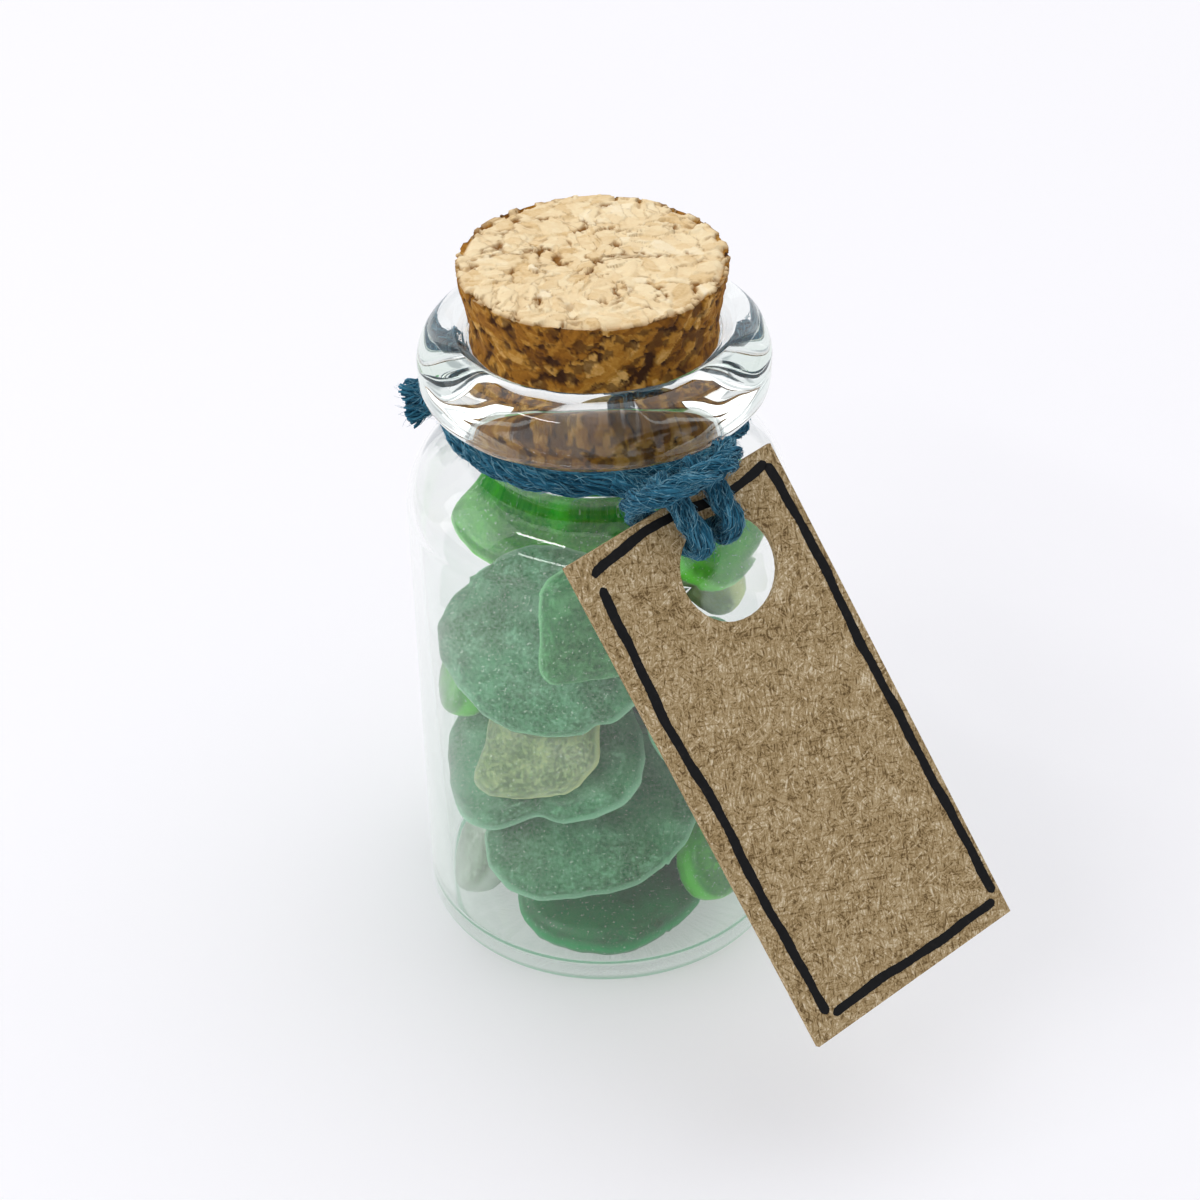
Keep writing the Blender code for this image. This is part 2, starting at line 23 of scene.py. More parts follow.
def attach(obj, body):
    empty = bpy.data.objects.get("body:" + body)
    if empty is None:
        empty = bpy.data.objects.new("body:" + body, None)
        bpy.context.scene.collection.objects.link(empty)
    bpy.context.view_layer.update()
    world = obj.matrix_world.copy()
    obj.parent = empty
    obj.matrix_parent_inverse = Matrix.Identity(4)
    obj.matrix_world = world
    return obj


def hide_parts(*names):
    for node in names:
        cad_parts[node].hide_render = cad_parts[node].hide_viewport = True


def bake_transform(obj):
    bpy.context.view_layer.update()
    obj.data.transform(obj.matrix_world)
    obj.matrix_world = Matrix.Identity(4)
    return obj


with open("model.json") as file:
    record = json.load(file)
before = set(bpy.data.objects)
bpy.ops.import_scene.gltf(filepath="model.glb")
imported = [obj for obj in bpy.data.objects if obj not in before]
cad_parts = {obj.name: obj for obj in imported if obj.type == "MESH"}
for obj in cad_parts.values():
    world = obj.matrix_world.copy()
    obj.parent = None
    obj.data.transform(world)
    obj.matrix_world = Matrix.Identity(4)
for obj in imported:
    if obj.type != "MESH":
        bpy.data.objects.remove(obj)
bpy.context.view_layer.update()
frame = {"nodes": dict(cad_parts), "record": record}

LOG = logging.getLogger("sea_glass_bottle")
MM = 0.001
UP = Vector((0.0, 0.0, 1.0))

# Socket numbers of the colours A and B of Blender's Mix node, which has such a pair for each data type
MIX_A = 6
MIX_B = 7


def linear(hex_colour: str) -> tuple[float, float, float, float]:
    """Turn an sRGB hex colour into linear red, green, blue and alpha.

    Args:
        hex_colour: six hex digits, with or without a leading hash sign.

    Returns:
        The linear colour with an alpha of 1.
    """
    digits = hex_colour.lstrip("#")
    channels = []
    for start in (0, 2, 4):
        value = int(digits[start:start + 2], 16) / 255
        channels.append(value / 12.92 if value <= 0.04045 else ((value + 0.055) / 1.055) ** 2.4)
    return (channels[0], channels[1], channels[2], 1.0)


def per_metre(pitch: float) -> float:
    """Scale of a texture whose pattern repeats once in the pitch, given in metres."""
    return 1.0 / pitch


def add_node(tree: bpy.types.NodeTree, kind: str, settings: dict | None = None,
             links: dict | None = None) -> bpy.types.Node:
    """Add a node with its settings and links.

    Args:
        tree: the material's or world's node tree.
        kind: Blender's name of the node's type, after "ShaderNode".
        settings: values by property name, input name or input number, with colours as sRGB hex.
            "stops" holds a colour ramp's places and colours.
        links: sockets, or nodes for their first output in use, by the input's name or number.

    Returns:
        The new node.
    """
    node = tree.nodes.new("ShaderNode" + kind)
    for key, value in (settings or {}).items():
        if key == "stops":
            elements = node.color_ramp.elements
            while len(elements) < len(value):
                elements.new(1.0)
            for element, (place, colour) in zip(elements, value):
                element.position = place
                element.color = linear(colour)
        elif isinstance(key, str) and hasattr(node, key):
            setattr(node, key, value)
        else:
            node.inputs[key].default_value = linear(value) if isinstance(value, str) else value
    for key, source in (links or {}).items():
        if isinstance(source, bpy.types.Node):
            source = next(socket for socket in source.outputs if socket.enabled)
        tree.links.new(source, node.inputs[key])
    return node


def blank_material(name: str) -> tuple[bpy.types.Material, bpy.types.NodeTree]:
    """Make a material with an empty node tree.

    Args:
        name: the finish's name.

    Returns:
        The material and its node tree.
    """
    made = bpy.data.materials.new(name)
    made.use_nodes = True
    made.node_tree.nodes.clear()
    return made, made.node_tree


def around(azimuth: float, distance: float, height: float) -> Vector:
    """Place at an azimuth in radians, a distance from the bottle's axis and a height."""
    return Vector((distance * math.sin(azimuth), -distance * math.cos(azimuth), height))


def smooth_step(low: float, high: float, values: np.ndarray) -> np.ndarray:
    """Smooth rise from 0 at low to 1 at high."""
    share = np.clip((values - low) / (high - low), 0.0, 1.0)
    return share * share * (3 - 2 * share)


def mesh_from(name: str, points: np.ndarray, faces: Sequence[Sequence[int]],
              values: dict[str, np.ndarray] | None = None) -> bpy.types.Mesh:
    """Make a smooth mesh from points and faces.

    Args:
        name: the mesh's name.
        points: one row of x, y and z for each vertex.
        faces: vertex numbers of each face.
        values: numbers by vertex, kept as named attributes for the material.

    Returns:
        The mesh.
    """
    mesh = bpy.data.meshes.new(name)
    mesh.from_pydata(np.asarray(points, float).tolist(), [], [tuple(face) for face in faces])
    add_values(mesh, values or {})
    mesh.shade_smooth()
    return mesh


def add_values(mesh: bpy.types.Mesh, values: dict[str, np.ndarray]) -> None:
    """Keep numbers by vertex as named attributes that the material reads.

    Args:
        mesh: the mesh that gets them.
        values: one number for each vertex, by the attribute's name.
    """
    for key, numbers in values.items():
        attribute = mesh.attributes.new(key, "FLOAT", "POINT")
        attribute.data.foreach_set("value", np.asarray(numbers, np.float32))


def mesh_arrays(mesh: bpy.types.Mesh) -> tuple[np.ndarray, np.ndarray]:
    """Read a mesh's points and outward directions.

    Args:
        mesh: the mesh.

    Returns:
        The points and the directions, one row for each vertex.
    """
    arrays = []
    for source, key in ((mesh.vertices, "co"), (mesh.vertex_normals, "vector")):
        values = np.empty(len(mesh.vertices) * 3, np.float32)
        source.foreach_get(key, values)
        arrays.append(values.reshape(-1, 3).astype(float))
    return arrays[0], arrays[1]


def closed_faces(rings: int, segments: int, flip: bool = False) -> list[tuple[int, ...]]:
    """Faces of a closed shape whose points are a first one, rings, and a last one.

    Args:
        rings: number of rings.
        segments: number of points in each ring.
        flip: whether the faces look the other way.

    Returns:
        The vertex numbers of each face.
    """
    last = 1 + rings * segments
    faces = []
    for step in range(segments):
        after = (step + 1) % segments
        faces.append((0, 1 + after, 1 + step))
        for low in range(1, last - segments, segments):
            faces.append((low + step, low + after, low + segments + after, low + segments + step))
        faces.append((last - segments + step, last - segments + after, last))
    return [face[:1] + face[:0:-1] for face in faces] if flip else faces


def add_piece(name: str, mesh: bpy.types.Mesh, finish: bpy.types.Material) -> bpy.types.Object:
    """Link a mesh into the scene as a piece with its finish.

    Args:
        name: the piece's name.
        mesh: its mesh, already in place.
        finish: its material.

    Returns:
        The piece.
    """
    piece = bpy.data.objects.new(name, mesh)
    mesh.materials.clear()
    mesh.materials.append(finish)
    bpy.context.scene.collection.objects.link(piece)
    return piece


class Body(Enum):
    """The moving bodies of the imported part."""

    BOTTLE = "bottle"
    STOPPER = "stopper"
    STRING = "string"
    TAG = "tag"


@dataclass(frozen=True)
class ClearBottleGlass:
    """Soda-lime glass, pressed at the lip and blown in a mould: clear, with a faint green edge."""

    name: str = "soda_lime_glass_moulded"
    ior: float = 1.52
    edge_colour: str = "#8FC6A4"
    corner_colour: str = "#5FA37A"
    absorption_per_metre: float = 20.0
    shadow_colour: str = "#FCFDFC"
    deepest_bounce: float = 3.5

    def material(self) -> bpy.types.Material:
        """Make the glass, which lets shadow and diffuse rays straight through to the shards.

        Returns:
            The material.
        """
        made, tree = blank_material(self.name)
        thick = add_node(tree, "Attribute", {"attribute_name": "thick"}).outputs["Fac"]
        tint = add_node(tree, "Mix", {
            "data_type": "RGBA", MIX_A: "#FFFFFF", MIX_B: self.corner_colour}, {0: thick})
        glass = add_node(tree, "BsdfPrincipled", {
            "Roughness": 0.0, "IOR": self.ior, "Transmission Weight": 1.0}, {"Base Color": tint})
        clear = add_node(tree, "BsdfTransparent", {"Color": self.shadow_colour})
        ray = add_node(tree, "LightPath").outputs
        soft = add_node(tree, "Math", {"operation": "MAXIMUM"}, {
            0: ray["Is Shadow Ray"], 1: ray["Is Diffuse Ray"]})
        late = add_node(tree, "Math", {"operation": "GREATER_THAN", 1: self.deepest_bounce}, {
            0: ray["Ray Depth"]})
        straight = add_node(tree, "Math", {"operation": "MAXIMUM"}, {0: soft, 1: late})
        surface = add_node(tree, "MixShader", links={0: straight, 1: glass, 2: clear})
        inside = add_node(tree, "VolumeAbsorption", {
            "Color": self.edge_colour, "Density": self.absorption_per_metre})
        add_node(tree, "OutputMaterial", links={"Surface": surface, "Volume": inside})
        return made


@dataclass(frozen=True)
class TumbledSeaGlass:
    """Bottle glass frosted by sand and waves: cloudy, with fine pale bruises and a paler rim that is
    partly wear and partly painted highlight.

    Real frosting is finer than a tenth of a millimetre. Its specks and grit are drawn coarser,
    so that they show.
    """

    name: str
    slot: str
    face_colour: str
    rim_wear_and_highlight_colour: str
    dust_colour: str = "#EEF7F0"
    ior: float = 1.52
    clearness: float = 0.85
    least_clearness: float = 0.15
    roughness: float = 0.3
    skin: float = 0.75
    bare_skin: float = 0.25
    deepening: float = 1.75
    thickness_pitch: float = 4.0 * MM
    bruise_pitch: float = 1.3 * MM
    speck_pitch: float = 0.17 * MM
    grit_pitch: float = 0.2 * MM

    def material(self) -> bpy.types.Material:
        """Make the frosted glass, whose colour pales at each bruise and at the rim, where the paleness is
        partly wear and partly painted highlight.

        Returns:
            The material.
        """
        made, tree = blank_material(self.name)
        place = add_node(tree, "TexCoord").outputs["Object"]
        noises, layers = {}, {}
        for layer, pitch, look, low, high, most in (
                ("thickness", self.thickness_pitch, {"Detail": 2.0, "Distortion": 0.5}, 0.35, 0.65, 1.0),
                ("bruise", self.bruise_pitch, {"Detail": 6.0, "Roughness": 0.75}, 0.46, 0.7, 0.5),
                ("grit", self.grit_pitch, {"Detail": 2.0}, 0.42, 0.66, 0.4),
                ("speck", self.speck_pitch, {"Detail": 2.0, "Roughness": 0.6}, 0.64, 0.71, 0.6)):
            noises[layer] = add_node(tree, "TexNoise", {"Scale": per_metre(pitch), **look}, {
                "Vector": place})
            layers[layer] = add_node(tree, "MapRange", {
                "From Min": low, "From Max": high, "To Max": most}, {"Value": noises[layer]})
        deep_colour = [channel ** self.deepening for channel in linear(self.face_colour)[:3]] + [1.0]
        glass_colour = add_node(tree, "Mix", {
            "data_type": "RGBA", MIX_A: self.face_colour, MIX_B: deep_colour}, {
            0: layers["thickness"]})
        worn = add_node(tree, "Math", {"operation": "ADD"}, {0: layers["bruise"], 1: layers["grit"]})
        rim = add_node(tree, "Attribute", {"attribute_name": "rim"}).outputs["Fac"]
        # Paler towards the rim: partly frosting wear, partly a painted highlight where the face turns
        # away at the edge
        edge = add_node(tree, "MapRange", {
            "From Min": 0.4, "From Max": 0.85, "To Max": 0.85}, {"Value": rim})
        pale = add_node(tree, "Math", {"operation": "MAXIMUM"}, {0: worn, 1: edge})
        # Bruise wear, and the rim's wear and painted highlight, pale the colour towards the rim colour
        body = add_node(tree, "Mix", {"data_type": "RGBA", MIX_B: self.rim_wear_and_highlight_colour}, {
            0: pale, MIX_A: glass_colour})
        colour = add_node(tree, "Mix", {"data_type": "RGBA", MIX_B: self.dust_colour}, {
            0: layers["speck"], MIX_A: body})
        covered = add_node(tree, "Math", {"operation": "MAXIMUM"}, {0: pale, 1: layers["speck"]})
        cloud = add_node(tree, "MapRange", {
            "To Min": self.clearness, "To Max": self.least_clearness}, {"Value": covered})
        bump = add_node(tree, "Bump", {"Strength": 0.25, "Distance": 0.02 * MM}, {
            "Height": noises["grit"]})
        shader = add_node(tree, "BsdfPrincipled", {
            "Roughness": self.roughness, "IOR": self.ior, "Subsurface Weight": 1.0,
            "Subsurface Radius": (0.9, 1.6, 1.1), "Subsurface Scale": 1.0 * MM,
            "Sheen Weight": 0.5, "Sheen Roughness": 0.35}, {
            "Base Color": colour, "Transmission Weight": cloud, "Normal": bump})
        skin = add_node(tree, "BsdfDiffuse", links={"Color": colour})
        film = add_node(tree, "Math", {
            "operation": "MULTIPLY_ADD", 1: self.skin, 2: self.bare_skin * self.skin}, {0: covered})
        surface = add_node(tree, "MixShader", links={0: film, 1: shader, 2: skin})
        add_node(tree, "OutputMaterial", links={"Surface": surface})
        return made


@dataclass(frozen=True)
class PressedCork:
    """Cork granules pressed into a block and cut: pale on the cut top; darker and browner on the side,
    partly from its grinding and partly as painted shade.

    Real cork cells are a few hundredths of a millimetre wide. They are drawn coarser, to show.
    """

    name: str = "agglomerated_cork_ground"
    cell_pitch: float = 0.16 * MM
    fleck_pitch: float = 0.5 * MM
    chip_pitch: float = 0.55 * MM
    chip_bend: float = 0.35 * MM

    def material(self) -> bpy.types.Material:
        """Make the cork, whose granules and crevices come from the mesh, with painted shade on its side
        and in its crevices, cracks and pits.

        Returns:
            The material.
        """
        made, tree = blank_material(self.name)
        place = add_node(tree, "TexCoord").outputs["Object"]
        granule, crevice, ground = (add_node(tree, "Attribute", {"attribute_name": key}).outputs["Fac"]
                                    for key in ("granule", "crevice", "ground"))
        ragged, fleck, cells = (add_node(tree, "TexNoise", {
            "Scale": per_metre(pitch), "Detail": detail, "Roughness": rough}, {"Vector": place})
            for pitch, detail, rough in ((self.fleck_pitch, 3.0, 0.5), (self.fleck_pitch, 5.0, 0.65),
                                         (self.cell_pitch, 3.0, 0.6)))
        turned = add_node(tree, "Mapping", {
            "Rotation": (0.5, 0.3, 0.2), "Scale": (0.6, 1.3, 1.0)}, {"Vector": place})
        bent = add_node(tree, "VectorMath", {"operation": "MULTIPLY_ADD", 1: (self.chip_bend,) * 3}, {
            0: ragged.outputs["Color"], 2: turned})
        chip = add_node(tree, "TexVoronoi", {"Scale": per_metre(self.chip_pitch)}, {
            "Vector": bent}).outputs["Color"]
        tone = add_node(tree, "Math", {"operation": "MULTIPLY", 1: 0.2}, {0: fleck})
        for share, source in ((0.2, cells), (0.22, chip), (0.55, granule)):
            tone = add_node(tree, "Math", {"operation": "MULTIPLY_ADD", 1: share}, {0: source, 2: tone})
        cut = add_node(tree, "ValToRGB", {"stops": (
            (0.26, "#D2AC74"), (0.42, "#E6C896"), (0.56, "#EFD5A8"), (0.72, "#F6E1B7"),
            (0.90, "#FCECCB"))}, {0: tone})
        # Colours of the side: darker than the top's, partly from grinding and partly as painted shade on
        # the same cork
        side = add_node(tree, "ValToRGB", {"stops": (
            (0.28, "#54300A"), (0.44, "#80500F"), (0.56, "#976318"), (0.70, "#B07E30"),
            (0.86, "#D2A660"))}, {0: tone})
        skin = add_node(tree, "Mix", {"data_type": "RGBA"}, {0: ground, MIX_A: cut, MIX_B: side})
        # Painted shade in the crevices, cracks and pits, deeper on the side
        depth = add_node(tree, "Mix", {
            "data_type": "RGBA", MIX_A: "#8F6128", MIX_B: "#3A1E06"}, {0: ground})
        dark = add_node(tree, "Mix", {"data_type": "RGBA"}, {0: crevice, MIX_A: skin, MIX_B: depth})
        rough = add_node(tree, "Math", {"operation": "MULTIPLY_ADD", 1: 0.6}, {0: chip, 2: cells})
        bump = add_node(tree, "Bump", {"Strength": 0.45, "Distance": 0.04 * MM}, {"Height": rough})
        shader = add_node(tree, "BsdfPrincipled", {
            "Roughness": 0.85, "Specular IOR Level": 0.25}, {"Base Color": dark, "Normal": bump})
        add_node(tree, "OutputMaterial", links={"Surface": shader})
        return made


@dataclass(frozen=True)
class SpunTwine:
    """Soft spun hemp yarn, dyed blue: matt, with paler stray fibres on hollows darkened by painted shade.
    """

    name: str = "hemp_yarn_dyed"
    lint_pitch: float = 0.35 * MM

    def material(self) -> bpy.types.Material:
        """Make the yarn, whose fibres take their tone from the mesh.

        Returns:
            The material.
        """
        made, tree = blank_material(self.name)
        tone = add_node(tree, "Attribute", {"attribute_name": "tone"}).outputs["Fac"]
        place = add_node(tree, "TexCoord").outputs["Object"]
        lint = add_node(tree, "TexNoise", {
            "Scale": per_metre(self.lint_pitch), "Detail": 4.0, "Roughness": 0.7}, {"Vector": place})
        half = add_node(tree, "Math", {"operation": "MULTIPLY", 1: 0.45}, {0: lint})
        mixed = add_node(tree, "Math", {"operation": "MULTIPLY_ADD", 1: 0.65}, {0: tone, 2: half})
        colour = add_node(tree, "ValToRGB", {"stops": (
            (0.12, "#072839"), (0.42, "#1C5670"), (0.66, "#3F7F9A"), (0.92, "#8FBCCC"))}, {0: mixed})
        shader = add_node(tree, "BsdfPrincipled", {
            "Roughness": 0.95, "Specular IOR Level": 0.1, "Sheen Weight": 0.08,
            "Sheen Roughness": 0.5}, {"Base Color": colour})
        add_node(tree, "OutputMaterial", links={"Surface": shader})
        return made


@dataclass(frozen=True)
class KraftCard:
    """Unbleached kraft board, calendered and guillotined: brown, with pale and dark fibres."""

    side: Vector
    up: Vector
    name: str = "kraft_board_calendered"
    fibre_width: float = 0.11 * MM
    fibre_stretch: float = 7.0
    cloud_pitch: float = 1.6 * MM

    def fibres(self, tree: bpy.types.NodeTree, place: bpy.types.NodeSocket, angle: float,
               offset: float) -> bpy.types.Node:
        """Lay one set of fibres that run one way in the plane of the board.

        Args:
            tree: the material's node tree.
            place: the point on the board.
            angle: the way they run, from the board's sideways direction.
            offset: shift of the pattern, so that no two sets are the same.

        Returns:
            Noise that is drawn out along the fibres.
        """
        along = self.side * math.cos(angle) + self.up * math.sin(angle)
        normal = self.side.cross(self.up)
        axes = Matrix((along, normal.cross(along), normal)).transposed()
        laid = add_node(tree, "Mapping", {
            "vector_type": "TEXTURE", "Location": (offset, offset, offset),
            "Rotation": axes.to_euler(), "Scale": (self.fibre_stretch, 1.0, 1.0)}, {"Vector": place})
        return add_node(tree, "TexNoise", {
            "Scale": per_metre(self.fibre_width), "Detail": 1.0, "Roughness": 0.5,
            "Distortion": 0.35}, {"Vector": laid})

    def material(self) -> bpy.types.Material:
        """Make the board, whose fibres lie every way and are a little coarser than real ones.

        Returns:
            The material.
        """
        made, tree = blank_material(self.name)
        place = add_node(tree, "TexCoord").outputs["Object"]
        sets = [self.fibres(tree, place, angle, 0.02 + 0.011 * number)
                for number, angle in enumerate((0.2, 0.85, 1.45, 2.1, 2.75, 1.2))]
        paler, darker = sets[0], sets[3]
        for pale_set, dark_set in zip(sets[1:3], sets[4:]):
            paler = add_node(tree, "Math", {"operation": "MAXIMUM"}, {0: paler, 1: pale_set})
            darker = add_node(tree, "Math", {"operation": "MINIMUM"}, {0: darker, 1: dark_set})
        cloud = add_node(tree, "TexNoise", {
            "Scale": per_metre(self.cloud_pitch), "Detail": 4.0, "Roughness": 0.6}, {"Vector": place})
        both = add_node(tree, "Math", {"operation": "ADD"}, {0: paler, 1: darker})
        level = add_node(tree, "Math", {"operation": "MULTIPLY_ADD", 1: 0.3}, {0: cloud, 2: both})
        tone = add_node(tree, "Math", {"operation": "SUBTRACT", 1: 0.65}, {0: level})
        colour = add_node(tree, "ValToRGB", {"stops": (
            (0.28, "#665032"), (0.42, "#988058"), (0.52, "#AB936B"), (0.62, "#BCA681"),
            (0.78, "#E0D1B4"))}, {0: tone})
        bump = add_node(tree, "Bump", {"Strength": 0.4, "Distance": 0.03 * MM}, {"Height": tone})
        shader = add_node(tree, "BsdfPrincipled", {
            "Roughness": 0.88, "Specular IOR Level": 0.25}, {"Base Color": colour, "Normal": bump})
        add_node(tree, "OutputMaterial", links={"Surface": shader})
        return made


@dataclass(frozen=True)
class MarkerInk:
    """Pigment ink from a fibre-tip marker: black, soaked in, with a slight sheen."""

    name: str = "pigment_ink_drawn"
    patch_pitch: float = 0.3 * MM

    def material(self) -> bpy.types.Material:
        """Make the ink, a little uneven where the board's fibres take less of it.

        Returns:
            The material.
        """
        made, tree = blank_material(self.name)
        place = add_node(tree, "TexCoord").outputs["Object"]
        patch = add_node(tree, "TexNoise", {
            "Scale": per_metre(self.patch_pitch), "Detail": 3.0}, {"Vector": place})
        colour = add_node(tree, "ValToRGB", {"stops": (
            (0.35, "#070708"), (0.62, "#0E0E10"), (0.8, "#241F1B"))}, {0: patch})
        shader = add_node(tree, "BsdfPrincipled", {
            "Roughness": 0.7, "Specular IOR Level": 0.2}, {"Base Color": colour})
        add_node(tree, "OutputMaterial", links={"Surface": shader})
        return made


def arc(centre: tuple[float, float], radius: float, start: float, end: float,
        steps: int = 12) -> list[tuple[float, float]]:
    """Points of an arc in the profile plane.

    Args:
        centre: distance from the axis and height of the arc's middle.
        radius: its radius.
        start: its first angle in degrees, from outward towards up.
        end: its last angle.
        steps: number of steps.

    Returns:
        Distances and heights.
    """
    points = []
    for step in range(steps + 1):
        angle = math.radians(start + (end - start) * step / steps)
        points.append((centre[0] + radius * math.cos(angle), centre[1] + radius * math.sin(angle)))
    return points


def turned_mesh(name: str, profile: Sequence[tuple[float, float]], segments: int,
                move: Callable[[float, float, float], float] | None = None,
                finer_step: int = 0, finer: float = 0.0) -> bpy.types.Mesh:
    """Turn a profile that starts and ends on the axis about Z.

    Args:
        name: the mesh's name.
        profile: distances from the axis and heights.
        segments: number of steps round the axis.
        move: shift outward for a distance, an azimuth and a height.
        finer_step: step round which, and opposite which, the steps are finer.
        finer: share by which they are.

    Returns:
        The closed mesh.
    """
    points = [(0.0, 0.0, profile[0][1])]
    for radius, height in profile[1:-1]:
        for step in range(segments):
            azimuth = 2 * math.pi * step / segments
            azimuth -= finer / 2 * math.sin(4 * math.pi * (step - finer_step) / segments)
            out = radius + (move(radius, azimuth, height) if move else 0.0)
            points.append((out * math.sin(azimuth), -out * math.cos(azimuth), height))
    points.append((0.0, 0.0, profile[-1][1]))
    mesh = mesh_from(name, np.array(points), closed_faces(len(profile) - 2, segments))
    shape = bmesh.new()
    shape.from_mesh(mesh)
    bmesh.ops.recalc_face_normals(shape, faces=shape.faces)
    shape.to_mesh(mesh)
    shape.free()
    return mesh


@dataclass
class GlassBottle:
    """Moulded bottle: base, wall, shoulder, neck and rolled lip."""

    body_radius: float = 11.0 * MM
    base_edge: float = 0.9 * MM
    body_wall: float = 0.75 * MM
    base_thickness: float = 0.9 * MM
    floor_corner: float = 0.9 * MM
    shoulder_start: float = 28.0 * MM
    shoulder_height: float = 4.7 * MM
    shoulder_wall: float = 0.9 * MM
    shoulder_power: float = 1.8
    neck_radius: float = 7.1 * MM
    neck_bore: float = 5.88 * MM
    neck_height: float = 2.9 * MM
    neck_fillet: float = 0.35 * MM
    lip_radius: float = 9.87 * MM
    lip_height: float = 4.05 * MM
    lip_lower_round: float = 1.05 * MM
    lip_upper_round: float = 2.0 * MM
    mouth_dip: float = 0.3 * MM
    mouth_round: float = 0.4 * MM
    mouth_radius: float = 7.05 * MM
    floor_reach: float = 0.4
    waviness: float = 0.02 * MM
    wave_share: float = 0.6
    # How fast the waves turn, in radians for each metre up and out
    wave_turn_up: float = 420.0
    wave_turn_out: float = 900.0
    # Order round the bottle, share of that turn, and share of the height of each wave
    slow_waves: tuple[tuple[int, float, float], ...] = ((3, 1.0, 1.0), (5, -1.7, 0.6))
    fine_waves: tuple[tuple[int, float, float], ...] = ((11, -2.3, 1.0), (17, 1.3, 0.7))
    lip_ripple: float = 0.014 * MM
    seam_height: float = 0.01 * MM
    seam_width: float = 0.11 * MM
    seam_step: int = 13
    seam_finer: float = 0.6
    # Where the thick corner's tint starts and is full, in from the side, and its shares of the edge
    tint_start: float = 1.4 * MM
    tint_full: float = 0.5 * MM
    tint_heights: tuple[float, float] = (0.5, 1.4)
    segments: int = 256

    @property
    def shoulder_top(self) -> float:
        """Height where the shoulder meets the neck."""
        return self.shoulder_start + self.shoulder_height

    @property
    def lip_bottom(self) -> float:
        """Height of the lip's underside."""
        return self.shoulder_top + self.neck_height

    @property
    def lip_top(self) -> float:
        """Height of the lip's top."""
        return self.lip_bottom + self.lip_height

    def shoulder(self, radius_low: float, radius_high: float, height_high: float,
                 steps: int = 22) -> list[tuple[float, float]]:
        """Work out the shoulder's swelling curve, from the body up to the neck.

        Args:
            radius_low: radius at the body.
            radius_high: radius at the neck.
            height_high: height of the curve's top.
            steps: number of steps.

        Returns:
            Distances from the axis and heights.
        """
        points = []
        rise_all = height_high - self.shoulder_start
        for step in range(steps + 1):
            angle = math.pi / 2 * step / steps
            out = max(math.cos(angle), 0.0) ** (2 / self.shoulder_power)
            rise = math.sin(angle) ** (2 / self.shoulder_power)
            points.append((radius_high + (radius_low - radius_high) * out,
                           self.shoulder_start + rise_all * rise))
        return points

    def hollow(self) -> list[tuple[float, float]]:
        """Draw the wall's inner side, from the corner of the floor to the neck.

        Returns:
            Distances from the axis and heights.
        """
        inside = self.body_radius - self.body_wall
        corner = (inside - self.floor_corner, self.base_thickness + self.floor_corner)
        points = arc(corner, self.floor_corner, -90, 0)
        return points + self.shoulder(inside, self.neck_bore, self.shoulder_top - self.shoulder_wall)

    def profile(self) -> list[tuple[float, float]]:
        """Draw the outline of the glass, from the middle of the floor inside to the base's middle.

        Returns:
            Distances from the axis and heights.
        """
        inside = self.body_radius - self.body_wall
        points = [(0.0, self.base_thickness), (inside * self.floor_reach, self.base_thickness)]
        points += self.hollow()
        mouth = self.lip_top - self.mouth_dip - self.mouth_round
        points += arc((self.mouth_radius + self.mouth_round, mouth), self.mouth_round, 180, 100, 6)
        upper = (self.lip_radius - self.lip_upper_round, self.lip_top - self.lip_upper_round)
        points += arc(upper, self.lip_upper_round, 95, 0, 16)
        lower = (self.lip_radius - self.lip_lower_round, self.lip_bottom + self.lip_lower_round)
        points += arc(lower, self.lip_lower_round, 0, -90, 10)
        fillet = (self.neck_radius + self.neck_fillet, self.lip_bottom - self.neck_fillet)
        points += arc(fillet, self.neck_fillet, 90, 180, 6)
        points += reversed(self.shoulder(self.body_radius, self.neck_radius, self.shoulder_top))
        points += arc((self.body_radius - self.base_edge, self.base_edge), self.base_edge, 0, -90)
        points += [(self.body_radius * self.floor_reach, 0.0), (0.0, 0.0)]
        return points

    def room(self, heights: np.ndarray) -> np.ndarray:
        """Find the radius of the hollow at each height, up to the neck.

        Args:
            heights: the heights.

        Returns:
            The radii.
        """
        radii, levels = np.array(self.hollow()).T
        return np.interp(heights, levels, radii)

    def wave(self, radius: float, azimuth: float, height: float) -> float:
        """Work out the mould's two seams and the unevenness that the fire polish leaves.

        Args:
            radius: distance from the axis.
            azimuth: angle from the front, in radians.
            height: height above the floor.

        Returns:
            The shift outward.
        """
        seam = 2 * math.pi * self.seam_step / self.segments
        aside = math.remainder(azimuth - seam, math.pi) * radius / self.seam_width
        outermost = min(max(1.0 + (radius - self.body_radius) / self.shoulder_wall, 0.0), 1.0)
        ridge = self.seam_height * math.exp(-aside ** 2) * outermost
        if height < self.base_thickness * 2:
            return ridge
        phase = height * self.wave_turn_up + radius * self.wave_turn_out
        slow, fine = (sum(share * math.sin(order * azimuth + turn * phase)
                          for order, turn, share in waves)
                      for waves in (self.slow_waves, self.fine_waves))
        rest = ridge if height < self.lip_bottom else self.lip_ripple * fine
        return self.waviness * slow * self.wave_share + rest

    def build(self) -> None:
        """Make the bottle in place of its CAD node, riding on its body."""
        mesh = turned_mesh("glass_bottle_looks", self.profile(), self.segments, self.wave,
                           self.seam_step, self.seam_finer)
        points, _ = mesh_arrays(mesh)
        out = np.linalg.norm(points[:, :2], axis=1)
        side = self.body_radius
        corner = smooth_step(side - self.tint_start, side - self.tint_full, out)
        low, high = (share * self.base_edge for share in self.tint_heights)
        corner *= 1.0 - smooth_step(low, high, points[:, 2])
        add_values(mesh, {"thick": corner})
        piece = add_piece("moulded_bottle", mesh, ClearBottleGlass().material())
        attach(piece, Body.BOTTLE.value)
        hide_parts("glass_bottle")
        LOG.info("bottle: %d faces", len(mesh.polygons))


